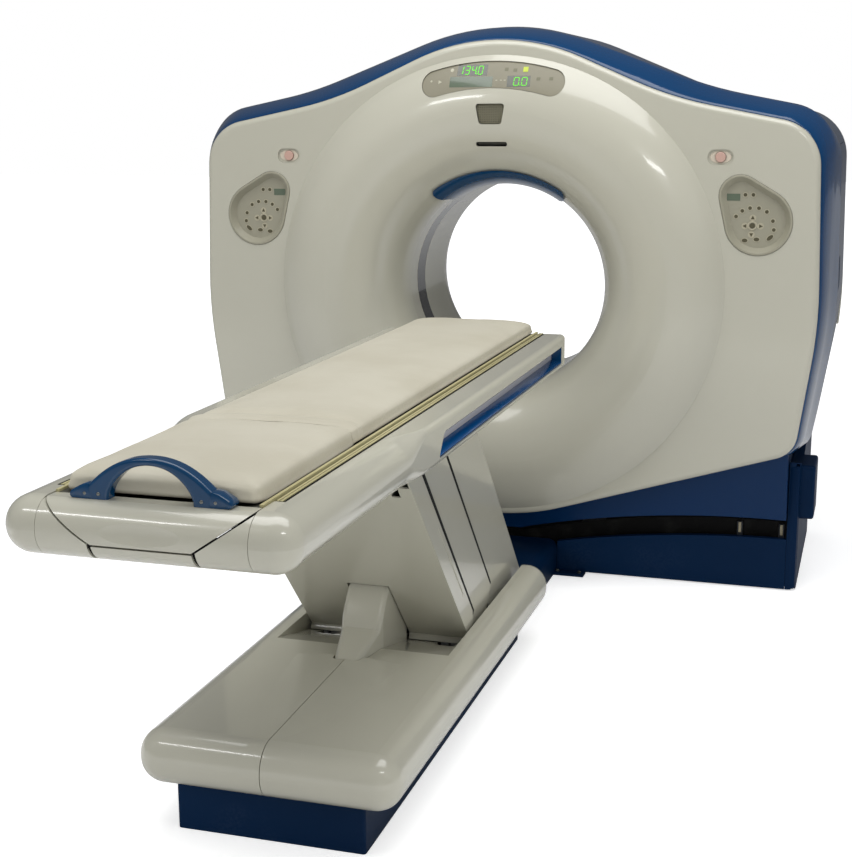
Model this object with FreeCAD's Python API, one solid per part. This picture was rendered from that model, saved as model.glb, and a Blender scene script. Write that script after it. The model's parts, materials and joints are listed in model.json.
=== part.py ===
import FreeCAD, Part
import math
import os

# CT scanner: tilting gantry with a spinning rotor, and a patient table on a leaning link lift.
# Millimetres. X to the right of a person at the table's foot, +Y into the bore, Z up.
# The origin is on the floor, straight below the centre of the scan plane.

# ---------------------------------------------------------------- gantry sizes
ISO_Z = 1025.0                 # height of the bore axis and of the tilt axis
BORE_R = 350.0                 # patient bore, 700 mm across
WALL = 5.0                     # moulded covers
SCAN_HALF = 45.0               # half width of the scan window
BORE_FRONT_Y = -124.0          # where the front funnel starts to open
FUNNEL_R = 240.0               # rounded mouth of the front funnel
FLANK_R = 250.0                # rounded outer side of the ring bulge
FACE_Y = -290.0                # flat face of the front cover
COVER_BACK_Y = -262.0          # back edge of the front cover
COVER_EDGE_R = 20.0
BAND_Y = -150.0                # widest line of the blue band
BAND_BACK_Y = -60.0            # back edge of the blue band
SHELL_BACK_Y = 480.0           # back edge of the top and side covers
REAR_Y = 540.0                 # flat face of the rear cover
REAR_EDGE_R = 36.0
REAR_FUNNEL_R = 250.0
SEAM = 2.0                     # visible joint between neighbouring covers
TOP_SPLIT_Z = 1500.0           # joint between the top cover and the side covers
BAND_END_Z = 505.0             # lower ends of the blue band

# Outlines, right half, from the bottom centre to the top centre: x, z, corner radius
# The top is S-shaped: round crest, hollow slope, round shoulder.
INNER_HALF = 988.0             # half width between the side covers of the base
FACE_OUTLINE = [(0, 198, 790), (INNER_HALF + 20, 507, 90), (INNER_HALF + 78, 930, 1500),
                (INNER_HALF + 57, 1558, 150), (573, 1653, 1200), (0, 1905, 692)]
BAND_OUTLINE = [(0, 180, 800), (INNER_HALF + 42, 492, 90), (INNER_HALF + 108, 930, 1500),
                (INNER_HALF + 101, 1604, 165), (694, 1683, 1300), (0, 1943, 831)]
BODY_OUTLINE = [(0, 170, 810), (INNER_HALF + 58, 486, 90), (INNER_HALF + 127.6, 930, 1500),
                (INNER_HALF + 114, 1584, 170), (673, 1669, 1200), (0, 1952, 697)]
REAR_STEP_Z = 840.0            # the rear cover is full width above this height
REAR_BOTTOM_Z = 300.0

# Tilting parts outside this half width keep inside SWING_R of the tilt axis
SWING_R = 580.0
SWING_GAP = 12.0

# Lower front cover and the skirt under it: x, z of the edges on the right half
LOWER_TOP_Z = 640.0
LOWER_TOP_Y = -250.0
LOWER_FOOT_Y = -139.0
LOWER_EDGE = [(60, 150), (528, 234), (INNER_HALF, 252)]
SKIRT_EDGE = [(60, 82), (528, 159), (INNER_HALF + 3, 180)]    # it reaches the side covers
SHIELD_DROP = 18.0             # black shield behind the slot stays this far under the cover

# Display, speaker panel, laser window, stop buttons and hand controls
DISPLAY_R_IN = 660.0
DISPLAY_R_OUT = 748.0
DISPLAY_HALF_W = 241.0
PANEL_SINK = 4.0
PANEL_THICK = 6.0
PANEL_GAP = 1.0
SPEAKER_Z = 1603.0
SPEAKER_TOP_W = 100.0
SPEAKER_FOOT_W = 75.0
SPEAKER_H = 66.0
SPEAKER_SINK = 9.0
LASER_Z = 1506.0
LASER_W = 105.0
LASER_H = 15.0
LASER_SINK = 10.0
CONTROL_X = INNER_HALF - 133
CONTROL_Z = 1282.0
CONTROL_SMALL = (-50.0, 62.0, 68.0)    # centre and radius of the small end of the egg shape
CONTROL_LARGE = (10.0, -20.0, 108.0)   # centre and radius of the large end
CONTROL_RIM = 24.0
CONTROL_DEEP = 17.0
STOP_X = INNER_HALF - 249
STOP_Z = 1465.0
STOP_W = 82.0
STOP_H = 48.0
STOP_DEEP = 7.0
STOP_BUTTON_R = 16.5
STOP_SEAT_R = STOP_BUTTON_R + 0.6
STOP_TRAVEL = 4.0
BORE_PAD_ANGLE = 33.5          # half angle between the round ends of the blue pad over the bore
BORE_PAD_TOP_R = 392.0
BORE_PAD_THICK = 7.0

# Stationary base of the gantry
BASE_FRONT_Y = -145.0
BASE_REAR_Y = 643.0
BASE_HALF = INNER_HALF + 40
BASE_CORNER_R = 30.0
SKIRT_WALL = 4.0
REAR_SKIRT_H = 250.0
FRAME_Z = 15.0                 # underside of the base frame, on its pads
FRAME_TUBE = 80.0
FRAME_BEAM_Y = (-60.0, 420.0)  # front edges of the two long beams
TOWER_X = INNER_HALF + 12
TOWER_THICK = 22.0
TOWER_BOSS_R = 85.0
TRUNNION_R = 45.0
RUNNING_FIT = 0.1
BUMP_X = BASE_HALF + 47
BUMP_Z = (247.0, 434.0)
BUMP_Y = (-112.0, 78.0)

# Rotor and its carrier
STATOR_Y = (70.0, 120.0)
STATOR_R = 790.0
BEARING_R_IN = 430.0
BEARING_R_OUT = 470.0
ROTOR_Y = (36.0, 56.0)
ROTOR_R = 740.0
JOURNAL_R = 400.0
FOCUS_R = 541.0                # focal spot to rotation axis
DETECTOR_GAP = 58.0            # bore to the face of the detector
DETECTOR_R = FOCUS_R + BORE_R + DETECTOR_GAP    # focal spot to detector
DETECTOR_THICK = 60.0
FAN_HALF = 25.0

# ---------------------------------------------------------------- table sizes
PIVOT_Z = 180.0
FRONT_PIVOT_Y = -1413.0
MID_PIVOT_Y = -1282.0
REAR_PIVOT_Y = -900.0
LEG = 820.0                    # between the pivots of a leg
LEAN = 43.0                    # legs lean towards the foot end, from vertical
HUB_R = 28.0
PIN_R = 14.0
MID_PIN_R = 10.0               # the middle cover's pivot is slimmer: the far cover passes it
MID_HUB_R = 14.0
NEAR_HALF = 230.0              # near leg cover, the outermost
MID_HALF = 222.0
FAR_HALF = 214.0
LEG_WALL = 4.0
NEAR_DEPTH = 72.0              # near face to the first seam
NEAR_SPAN = (33.0, 782.0)      # ends of the near cover's face along the leg
SIDE_TOP = 866.0               # upper ends of the side walls, up inside the table
APRON_R = 33.5                 # round apron of the near cover about its pivot
APRON_TURN = 30.0
ARM_X = (150.0, 172.0)         # leg arms
CHEEK_X = (178.0, 192.0)       # plates of the table's base frame

BASE_TOP_Z = 248.0             # table base cover
BASE_LOW_Z = 110.0
BASE_W = 316.0                 # half width
BASE_NEAR_Y = -2340.0
BASE_FAR_Y = -800.0
BASE_ROUND = 60.0
BASE_WALL = 6.0
RIDGE_H = 8.0
PLINTH_HALF = 229.0
PLINTH_NEAR_Y = BASE_NEAR_Y + 49
PLINTH_FAR_Y = -860.0
WELL_HALF = 238.0
WELL_Y = (-1450.0, -700.0)     # the well runs out at the far end
SCOOP_NEAR_Y = -1700.0
SCOOP_LOW_Z = 189.0
KNEE_HALF = 56.0
KNEE_NEAR_Y = -1790.0
KNEE_TAPER_Y = -1650.0         # the knee narrows from here to its near end
KNEE_NEAR_HALF = 33.0
KNEE_LOW_Z = 170.0
KNEE_TOP = 286.0               # distance of the knee's top from the front pivot

TABLE_HALF = 300.0
RAIL_W = 64.0                  # thickness of a side rail, and of the lip that carries the cradle
LIP_W = 20.0
FOOT_Y = -2832.0
HEAD_Y = -547.0
NOSE_R = 57.0
TOP_Z = 918.0
NOSE_LOW_Z = 803.0
RAIL_LOW_Z = 814.0
BULGE_END_Y = -2094.0
BLEND_Y = (-2175.0, -2150.0, -2115.0, -2080.0, -2050.0, -2035.0)    # the bulge thins out to the slim rail
BLEND_SHARE = (1.0, 0.9, 0.6, 0.25, 0.06, 0.0)
RAIL_INNER = TABLE_HALF - RAIL_W
LIP_INNER = RAIL_INNER - LIP_W
SEAM_X = LIP_INNER - 3         # seam between a foot cover and its rail
TROUGH_HALF = 109.0
FRAME_LOW_Z = 828.0
RECESS_Y = (-1950.0, -597.0)
RECESS_Z = (829.0, 885.0)
RECESS_DEEP = 38.0
INLAY_WALL = 3.0

CRADLE_HALF = LIP_INNER - 5
CRADLE_FLAT = 101.0
CRADLE_LOW_Z = 843.0
CRADLE_TOP_Z = 917.0
CRADLE_DISH = 16.0
CAP_BACK_Y = -2754.0
CAP_SEAM = 1.5
STRIP_W = 7.0
STRIP_H = 9.0
PAD_HALF = CRADLE_HALF - 9
PAD_THICK = 33.0
PAD_SPLIT_Y = -2210.0
PAD_NEAR_Y = -2748.0
PAD_CROWN = 5.0
HANDLE_OUTER = [(0, 84), (48, 77), (92, 55), (126, 27), (150, 6)]      # right half of its outer line
HANDLE_INNER = [(0, 69), (36, 62), (66, 41), (82, 18), (86, 4)]
HANDLE_Y = -2768.0
HANDLE_W = 34.0
HANDLE_ROUND = 7.0

DOCK_HALF = 196.0
DOCK_H = 112.0
PAD_R = 45.0                   # levelling pads
LUG_X = (INNER_HALF - 156, INNER_HALF - 16)         # stop lugs of the tilt
LUG_W = 18.0
LUG_TOP_Z = 226.0

OUT = 5 * BASE_HALF            # well outside the object

os.makedirs("parts", exist_ok=True)


# ---------------------------------------------------------------- drawing helpers
def vec(x, y, z):
    return FreeCAD.Vector(x, y, z)


def unit(v):
    out = FreeCAD.Vector(v)
    out.normalize()
    return out


def corner_arc(before, corner, after, radius):
    """Start, middle and end of the arc that rounds one corner of an outline."""
    back = unit(before - corner)
    ahead = unit(after - corner)
    half = back.getAngle(ahead) / 2
    start = corner + back * (radius / math.tan(half))
    end = corner + ahead * (radius / math.tan(half))
    inward = unit(back + ahead)
    middle = corner + inward * (radius / math.sin(half) - radius)
    return start, middle, end


def rounded_wire(corners, place):
    """Closed wire through corners (a, b, radius), set in space by place(a, b)."""
    points = [place(a, b) for a, b, r in corners]
    pieces = []
    for i, (a, b, radius) in enumerate(corners):
        if radius > 0:
            pieces.append(corner_arc(points[i - 1], points[i], points[(i + 1) % len(points)], radius))
        else:
            pieces.append((points[i], None, points[i]))
    edges = []
    for i, (start, middle, end) in enumerate(pieces):
        if middle is not None:
            edges.append(Part.Arc(start, middle, end).toShape())
        following = pieces[(i + 1) % len(pieces)][0]
        if end.distanceToPoint(following) > 1e-6:
            edges.append(Part.LineSegment(end, following).toShape())
    return Part.Wire(edges)


def inset(corners, depth):
    """The same outline, moved inwards by depth, for a wall of even thickness."""
    count = len(corners)
    area = sum(corners[i - 1][0] * corners[i][1] - corners[i][0] * corners[i - 1][1] for i in range(count))
    turn = 1.0 if area > 0 else -1.0
    out = []
    for i in range(count):
        (ax, az), (bx, bz), (cx, cz) = [corners[(i + k) % count][:2] for k in (-1, 0, 1)]
        in_len = math.hypot(bx - ax, bz - az)
        out_len = math.hypot(cx - bx, cz - bz)
        n1 = (-(bz - az) / in_len * turn, (bx - ax) / in_len * turn)
        n2 = (-(cz - bz) / out_len * turn, (cx - bx) / out_len * turn)
        share = depth / (1 + n1[0] * n2[0] + n1[1] * n2[1])
        convex = ((bx - ax) * (cz - bz) - (bz - az) * (cx - bx)) * turn > 0
        radius = corners[i][2]
        if radius > 0:
            radius = max(radius - depth, 0) if convex else radius + depth
        out.append((bx + (n1[0] + n2[0]) * share, bz + (n1[1] + n2[1]) * share, radius))
    return out


def whole(half):
    """Both sides of an outline given from its bottom centre to its top centre."""
    left = [(-x, z, r) for x, z, r in reversed(half) if x > 0]
    return half + left


def along_y(corners, y_from, y_to):
    wire = rounded_wire(corners, lambda a, b: vec(a, y_from, b))
    return Part.Face(wire).extrude(vec(0, y_to - y_from, 0))


def along_x(corners, x_from, x_to):
    """Corners are (y, z, radius)."""
    wire = rounded_wire(corners, lambda a, b: vec(x_from, a, b))
    return Part.Face(wire).extrude(vec(x_to - x_from, 0, 0))


def along_z(corners, z_from, z_to):
    wire = rounded_wire(corners, lambda a, b: vec(a, b, z_from))
    return Part.Face(wire).extrude(vec(0, 0, z_to - z_from))


def loft_y(corners_a, y_a, corners_b, y_b):
    wire_a = rounded_wire(corners_a, lambda a, b: vec(a, y_a, b))
    wire_b = rounded_wire(corners_b, lambda a, b: vec(a, y_b, b))
    return Part.makeLoft([wire_a, wire_b], True, True)


def box(x, y, z):
    """Block between pairs of limits."""
    return Part.makeBox(x[1] - x[0], y[1] - y[0], z[1] - z[0], vec(x[0], y[0], z[0]))


def rod_x(y, z, radius, x_from, x_to):
    return Part.makeCylinder(radius, x_to - x_from, vec(x_from, y, z), vec(1, 0, 0))


def rod_y(x, z, radius, y_from, y_to):
    return Part.makeCylinder(radius, y_to - y_from, vec(x, y_from, z), vec(0, 1, 0))


def rod_z(x, y, radius, z_from, z_to):
    return Part.makeCylinder(radius, z_to - z_from, vec(x, y, z_from), vec(0, 0, 1))


def ring_y(inner, outer, y_from, y_to):
    """Ring about the bore axis."""
    return rod_y(0, ISO_Z, outer, y_from, y_to).cut(rod_y(0, ISO_Z, inner, y_from - 1, y_to + 1))


def mirrored(shape):
    return shape.mirror(vec(0, 0, 0), vec(1, 0, 0))


def both(shape):
    return Part.makeCompound([shape, mirrored(shape)])


def join(shapes):
    return shapes[0].multiFuse(shapes[1:]).removeSplitter()


def save(name, shape):
    """One sub-part: its solids, written with nothing else around them."""
    solids = shape.Solids
    out = solids[0] if len(solids) == 1 else Part.makeCompound(solids)
    if not out.isValid():
        print("NOT VALID", name)
    out.exportStep("parts/" + name + ".step")
    print(name, len(solids), "solid(s)", round(out.Volume / 1e6, 3), "litres")
    return out


# ---------------------------------------------------------------- gantry helpers
def funnel_y(r, sink=0.0):
    """Where the front surface stands at distance r from the bore axis, sunk by a wall."""
    centre_r = BORE_R + FUNNEL_R
    if r <= centre_r:
        reach = FUNNEL_R - sink
        return BORE_FRONT_Y - math.sqrt(max(reach ** 2 - (centre_r - r) ** 2, 0))
    reach = FLANK_R - sink
    centre_y = BORE_FRONT_Y - FUNNEL_R + FLANK_R
    return centre_y - math.sqrt(max(reach ** 2 - (r - centre_r) ** 2, 0))


def flank_foot_r(sink=0.0):
    """Radius where the ring bulge meets the flat face."""
    centre_y = BORE_FRONT_Y - FUNNEL_R + FLANK_R
    drop = centre_y - (FACE_Y + sink)
    return BORE_R + FUNNEL_R + math.sqrt((FLANK_R - sink) ** 2 - drop ** 2)


def bulge_edges(sink):
    """Edges of the ring bulge's section from the bore to the flat face, sunk by a wall."""
    centre_r = BORE_R + FUNNEL_R
    mouth = vec(BORE_R + sink, BORE_FRONT_Y, 0)
    low = vec(centre_r - (FUNNEL_R - sink) * math.cos(math.pi / 4),
              BORE_FRONT_Y - (FUNNEL_R - sink) * math.sin(math.pi / 4), 0)
    crest = vec(centre_r, BORE_FRONT_Y - FUNNEL_R + sink, 0)
    foot_r = flank_foot_r(sink)
    middle_r = (centre_r + foot_r) / 2
    middle = vec(middle_r, funnel_y(middle_r, sink), 0)
    foot = vec(foot_r, FACE_Y + sink, 0)
    return [Part.Arc(mouth, low, crest).toShape(), Part.Arc(crest, middle, foot).toShape()]


def turned(edges):
    """Solid of revolution about the bore axis of a closed section in (radius, y)."""
    face = Part.Face(Part.Wire(Part.sortEdges(edges)[0]))
    face.translate(vec(0, 0, ISO_Z))
    solid = face.revolve(vec(0, 0, ISO_Z), vec(0, 1, 0), 360)
    return solid if solid.Volume > 0 else solid.reversed()


def line(a, b):
    return Part.LineSegment(a, b).toShape()


def bulge_layer(outer_sink, inner_sink):
    """Layer of the ring bulge between two depths under its surface."""
    outer = bulge_edges(outer_sink)
    inner = bulge_edges(inner_sink)
    ends = [outer[0].Vertexes[0].Point, outer[1].Vertexes[-1].Point,
            inner[1].Vertexes[-1].Point, inner[0].Vertexes[0].Point]
    return turned(outer + [line(ends[1], ends[2])] + inner + [line(ends[3], ends[0])])


def swing_limit(side, radius):
    """Space beside the stationary base that tilting parts leave free."""
    ring = rod_x(0, ISO_Z, OUT, INNER_HALF + 2, OUT).cut(rod_x(0, ISO_Z, radius, INNER_HALF + 2, OUT))
    ring = ring.common(box((INNER_HALF, OUT), (-OUT, OUT), (-OUT, ISO_Z - 5)))
    return ring if side > 0 else mirrored(ring)


def egg(gap):
    """Egg outline of the hand controls: two circles and their outer tangents, in (x, z)."""
    x1, z1, r1 = CONTROL_SMALL
    x2, z2, r2 = CONTROL_LARGE
    r1 = r1 - gap
    r2 = r2 - gap
    span = math.hypot(x2 - x1, z2 - z1)
    heading = math.atan2(z2 - z1, x2 - x1)
    swing = math.acos((r1 - r2) / span)
    points = []
    for turn in (heading + swing, heading - swing):
        points.append((x1 + r1 * math.cos(turn), z1 + r1 * math.sin(turn)))
        points.append((x2 + r2 * math.cos(turn), z2 + r2 * math.sin(turn)))
    far_1 = (x1 - r1 * math.cos(heading), z1 - r1 * math.sin(heading))
    far_2 = (x2 + r2 * math.cos(heading), z2 + r2 * math.sin(heading))
    return points, far_1, far_2


def egg_block(gap, y_from, y_to):
    points, far_1, far_2 = egg(gap)

    def place(p):
        return vec(CONTROL_X + p[0], y_from, CONTROL_Z + p[1])

    a1, a2, b1, b2 = [place(p) for p in points]
    edges = [Part.Arc(a1, place(far_1), b1).toShape(), line(b1, b2),
             Part.Arc(b2, place(far_2), a2).toShape(), line(a2, a1)]
    return Part.Face(Part.Wire(edges)).extrude(vec(0, y_to - y_from, 0))


def display_block(gap, y_from, y_to):
    """Kidney shape about the bore axis with round ends."""
    inner = DISPLAY_R_IN + gap
    outer = DISPLAY_R_OUT - gap
    end_r = (outer - inner) / 2
    middle_r = (outer + inner) / 2
    centre_x = DISPLAY_HALF_W - (DISPLAY_R_OUT - DISPLAY_R_IN) / 2
    angle = math.asin(centre_x / middle_r)

    def at(radius, turn):
        return vec(radius * math.sin(turn), y_from, ISO_Z + radius * math.cos(turn))

    def tip(side):
        along = vec(math.cos(angle), 0, -math.sin(angle))
        point = at(middle_r, angle) + along * end_r
        return vec(side * point.x, point.y, point.z)

    edges = [Part.Arc(at(outer, -angle), at(outer, 0), at(outer, angle)).toShape(),
             Part.Arc(at(outer, angle), tip(1), at(inner, angle)).toShape(),
             Part.Arc(at(inner, angle), at(inner, 0), at(inner, -angle)).toShape(),
             Part.Arc(at(inner, -angle), tip(-1), at(outer, -angle)).toShape()]
    return Part.Face(Part.Wire(edges)).extrude(vec(0, y_to - y_from, 0))


def speaker_block(gap, y_from, y_to):
    top = SPEAKER_Z + SPEAKER_H / 2 - gap
    foot = SPEAKER_Z - SPEAKER_H / 2 + gap
    half = [(0, foot, 0), (SPEAKER_FOOT_W / 2 - gap, foot, 12), (SPEAKER_TOP_W / 2 - gap, top, 10), (0, top, 0)]
    return along_y(whole(half), y_from, y_to)


def laser_block(gap, y_from, y_to):
    half_h = LASER_H / 2 - gap
    half_w = LASER_W / 2 - gap
    corners = [(-half_w, LASER_Z - half_h, half_h * 0.9), (half_w, LASER_Z - half_h, half_h * 0.9),
               (half_w, LASER_Z + half_h, half_h * 0.9), (-half_w, LASER_Z + half_h, half_h * 0.9)]
    return along_y(corners, y_from, y_to)


def stop_block(gap, y_from, y_to):
    half_w = STOP_W / 2 - gap
    half_h = STOP_H / 2 - gap
    corners = [(STOP_X - half_w, STOP_Z - half_h, half_h * 0.95), (STOP_X + half_w, STOP_Z - half_h, half_h * 0.95),
               (STOP_X + half_w, STOP_Z + half_h, half_h * 0.95), (STOP_X - half_w, STOP_Z + half_h, half_h * 0.95)]
    return along_y(corners, y_from, y_to)


# ---------------------------------------------------------------- tilting covers
def make_front_cover():
    """Face plate with its rim, the ring bulge with its funnel, and the front of the bore."""
    bore_end = -SCAN_HALF - SEAM
    outer = bulge_edges(0)
    inner = bulge_edges(WALL)
    mouth = vec(BORE_R, BORE_FRONT_Y, 0)
    inner_mouth = vec(BORE_R + WALL, BORE_FRONT_Y, 0)
    foot = vec(flank_foot_r(), FACE_Y, 0)
    inner_foot = vec(flank_foot_r(WALL), FACE_Y + WALL, 0)
    ring = turned(outer + [line(foot, inner_foot)] + inner
                  + [line(inner_mouth, vec(BORE_R + WALL, bore_end, 0)),
                     line(vec(BORE_R + WALL, bore_end, 0), vec(BORE_R, bore_end, 0)),
                     line(vec(BORE_R, bore_end, 0), mouth)])
    plate = along_y(whole(FACE_OUTLINE), FACE_Y, COVER_BACK_Y)
    rim = [e for e in plate.Edges if abs(e.BoundBox.YMax - FACE_Y) < 0.01]
    plate = plate.makeFillet(COVER_EDGE_R, rim)
    hollow = along_y(inset(whole(FACE_OUTLINE), WALL), FACE_Y + WALL, COVER_BACK_Y + 1)
    inner_rim = [e for e in hollow.Edges if abs(e.BoundBox.YMax - FACE_Y - WALL) < 0.01]
    hollow = hollow.makeFillet(COVER_EDGE_R - WALL, inner_rim)
    plate = plate.cut(hollow)
    plate = plate.cut(rod_y(0, ISO_Z, (flank_foot_r() + flank_foot_r(WALL)) / 2, FACE_Y - 1, COVER_BACK_Y + 2))
    cover = plate.fuse(ring)
    cuts = [display_block(0, FACE_Y - 120, FACE_Y + 40), speaker_block(0, FACE_Y - 120, FACE_Y + 40),
            laser_block(0, FACE_Y - 120, FACE_Y + 40)]
    for block in (egg_block(0, FACE_Y - 2, FACE_Y + 20), stop_block(0, FACE_Y - 2, FACE_Y + 20)):
        cuts += [block, mirrored(block)]
    for block in cuts:
        cover = cover.cut(block)
    seat = stop_block(0, FACE_Y + STOP_DEEP, FACE_Y + STOP_DEEP + WALL)
    sleeve = stop_block(-WALL, FACE_Y + WALL / 2, FACE_Y + STOP_DEEP + WALL)
    sleeve = sleeve.cut(stop_block(0, FACE_Y, FACE_Y + STOP_DEEP + WALL)).fuse(seat)
    sleeve = sleeve.cut(rod_y(STOP_X, STOP_Z, STOP_SEAT_R, FACE_Y, FACE_Y + 40))
    return join([cover, sleeve, mirrored(sleeve)])


def bulge_panel(block, sink):
    """Insert that follows the ring bulge a little under its surface."""
    return bulge_layer(sink, sink + PANEL_THICK).common(block)


def make_control_panel():
    """Dished housing of the hand controls, right side."""
    rim = egg_block(PANEL_GAP, FACE_Y - 3, FACE_Y + CONTROL_DEEP + WALL)
    lip = [e for e in rim.Edges if abs(e.BoundBox.YMax - (FACE_Y - 3)) < 0.01]
    rim = rim.makeFillet(3, lip)
    dish = egg_block(CONTROL_RIM, FACE_Y - 5, FACE_Y + CONTROL_DEEP)
    slope_top = rounded_egg(PANEL_GAP + 7, FACE_Y - 3.1)
    slope_foot = rounded_egg(CONTROL_RIM, FACE_Y + CONTROL_DEEP)
    dish = dish.fuse(Part.makeLoft([slope_top, slope_foot], True, True))
    return rim.cut(dish)


def rounded_egg(gap, y):
    face = egg_block(gap, y, y + 1)
    return [f for f in face.Faces if abs(f.CenterOfMass.y - y) < 0.01][0].OuterWire


def make_stop_button():
    """Round button in its seat, right side."""
    front = FACE_Y - 1.0
    button = rod_y(STOP_X, STOP_Z, STOP_BUTTON_R, front, FACE_Y + STOP_DEEP + WALL + 8)
    lip = [e for e in button.Edges if abs(e.BoundBox.YMax - front) < 0.01]
    button = button.makeFillet(3, lip)
    flange = rod_y(STOP_X, STOP_Z, STOP_BUTTON_R + 5, FACE_Y + STOP_DEEP + WALL, FACE_Y + STOP_DEEP + WALL + 3)
    return button.fuse(flange).removeSplitter()


def make_bore_pad():
    """Blue pad round the top of the bore's front edge."""
    layer = bulge_layer(-BORE_PAD_THICK, 0)
    layer = layer.common(rod_y(0, ISO_Z, BORE_PAD_TOP_R, FACE_Y - 90, BORE_FRONT_Y + 10))
    reach = BORE_PAD_TOP_R * 2
    spread = math.tan(math.radians(BORE_PAD_ANGLE)) * reach
    wedge = along_y([(0, ISO_Z, 0), (spread, ISO_Z + reach, 0), (-spread, ISO_Z + reach, 0)],
                    FACE_Y - 90, BORE_FRONT_Y + 10)
    end_r = (BORE_PAD_TOP_R - BORE_R) / 2
    mid_r = BORE_R + end_r
    angle = math.radians(BORE_PAD_ANGLE)
    end = rod_y(mid_r * math.sin(angle), ISO_Z + mid_r * math.cos(angle), end_r, FACE_Y - 90, BORE_FRONT_Y + 10)
    return layer.common(wedge.multiFuse([end, mirrored(end)])).removeSplitter()


def ring_shell(outline_a, y_a, outline_b, y_b):
    """Wall that follows the gantry's outline between two planes."""
    outer = loft_y(whole(outline_a), y_a, whole(outline_b), y_b)
    inner = loft_y(inset(whole(outline_a), WALL), y_a, inset(whole(outline_b), WALL), y_b)
    return outer.cut(inner)


def free_swing(shape):
    return shape.cut(swing_limit(1, SWING_R)).cut(swing_limit(-1, SWING_R))


def make_trim_band():
    front = ring_shell(FACE_OUTLINE, COVER_BACK_Y + SEAM, BAND_OUTLINE, BAND_Y)
    back = ring_shell(BAND_OUTLINE, BAND_Y, BODY_OUTLINE, BAND_BACK_Y)
    band = front.fuse(back)
    band = band.common(box((-OUT, OUT), (FACE_Y, 0), (BAND_END_Z, OUT)))
    return free_swing(band).removeSplitter()


def body_shell():
    return ring_shell(BODY_OUTLINE, BAND_BACK_Y + SEAM, BODY_OUTLINE, SHELL_BACK_Y - SEAM)


def make_top_cover():
    return body_shell().common(box((-OUT, OUT), (-OUT, OUT), (TOP_SPLIT_Z + SEAM / 2, OUT)))


def make_side_cover():
    """Side cover, right side, with its grip pocket."""
    shell = body_shell().common(box((INNER_HALF - 88, OUT), (-OUT, OUT), (BAND_END_Z + 40, TOP_SPLIT_Z - SEAM / 2)))
    shell = free_swing(shell)
    pocket_z = (1020.0, 1130.0)
    pocket_y = (-20.0, 90.0)
    corners = [(pocket_y[0], pocket_z[0], 20), (pocket_y[1], pocket_z[0], 20),
               (pocket_y[1], pocket_z[1], 20), (pocket_y[0], pocket_z[1], 20)]
    pocket_x = BODY_OUTLINE[2][0] - 33
    cup = along_x(inset(corners, -3), pocket_x - 3, pocket_x + 25)
    hole = along_x(corners, pocket_x, OUT)
    return shell.fuse(cup).cut(hole).removeSplitter()


def rear_outline():
    half = [(0, REAR_BOTTOM_Z, 0), (INNER_HALF - 2, REAR_BOTTOM_Z, 60), (INNER_HALF - 2, REAR_STEP_Z, 0)]
    return half + [(BODY_OUTLINE[2][0] - 8, REAR_STEP_Z, 0)] + BODY_OUTLINE[2:]


def make_rear_cover():
    """Rear plate with its rim and the rear half of the bore."""
    outline = whole(rear_outline())
    plate = along_y(outline, SHELL_BACK_Y, REAR_Y)
    rim = [e for e in plate.Edges if abs(e.BoundBox.YMin - REAR_Y) < 0.01 and e.BoundBox.ZMin > REAR_STEP_Z + 1
           and e.BoundBox.ZMax > REAR_STEP_Z + 30]
    plate = plate.makeFillet(REAR_EDGE_R, rim)
    hollow = along_y(inset(outline, WALL), SHELL_BACK_Y - 1, REAR_Y - WALL)
    inner_rim = [e for e in hollow.Edges if abs(e.BoundBox.YMin - REAR_Y + WALL) < 0.01
                 and e.BoundBox.ZMin > REAR_STEP_Z + 1 and e.BoundBox.ZMax > REAR_STEP_Z + 30]
    hollow = hollow.makeFillet(REAR_EDGE_R - WALL, inner_rim)
    plate = plate.cut(hollow)
    mouth_y = REAR_Y - REAR_FUNNEL_R
    centre_r = BORE_R + REAR_FUNNEL_R
    start_y = SCAN_HALF + SEAM
    low = REAR_FUNNEL_R * math.cos(math.pi / 4)
    thin = (REAR_FUNNEL_R - WALL) * math.cos(math.pi / 4)
    mouth_r = centre_r - REAR_FUNNEL_R
    outer = Part.Arc(vec(mouth_r, mouth_y, 0), vec(centre_r - low, mouth_y + low, 0), vec(centre_r, REAR_Y, 0))
    inner = Part.Arc(vec(mouth_r + WALL, mouth_y, 0), vec(centre_r - thin, mouth_y + thin, 0),
                     vec(centre_r, REAR_Y - WALL, 0))
    ring = turned([outer.toShape(), line(vec(centre_r, REAR_Y, 0), vec(centre_r, REAR_Y - WALL, 0)),
                   inner.toShape(), line(vec(mouth_r + WALL, mouth_y, 0), vec(mouth_r + WALL, start_y, 0)),
                   line(vec(mouth_r + WALL, start_y, 0), vec(mouth_r, start_y, 0)),
                   line(vec(mouth_r, start_y, 0), vec(mouth_r, mouth_y, 0))])
    plate = plate.cut(rod_y(0, ISO_Z, centre_r, SHELL_BACK_Y - 2, REAR_Y + 1))
    return plate.fuse(ring).removeSplitter()


def edge_curve(points, y, drop=0.0):
    """Right half of a curved lower or upper edge: level near the middle, then one arc."""
    a, b, c = [vec(x, y, z - drop) for x, z in points]
    return Part.Arc(a, b, c).toShape(), a, c


def edged_plate(points, y_from, y_to, level, drop=0.0, half=INNER_HALF):
    """Plate between a level line and a curved edge, both halves."""
    points = [(min(x, half), z) for x, z in points]
    arc, a, c = edge_curve(points, y_from, drop)
    right = [line(vec(0, y_from, a.z), a), arc, line(c, vec(c.x, y_from, level)),
             line(vec(c.x, y_from, level), vec(0, y_from, level)), line(vec(0, y_from, level), vec(0, y_from, a.z))]
    block = Part.Face(Part.Wire(right)).extrude(vec(0, y_to - y_from, 0))
    return block.fuse(mirrored(block)).removeSplitter()


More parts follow.
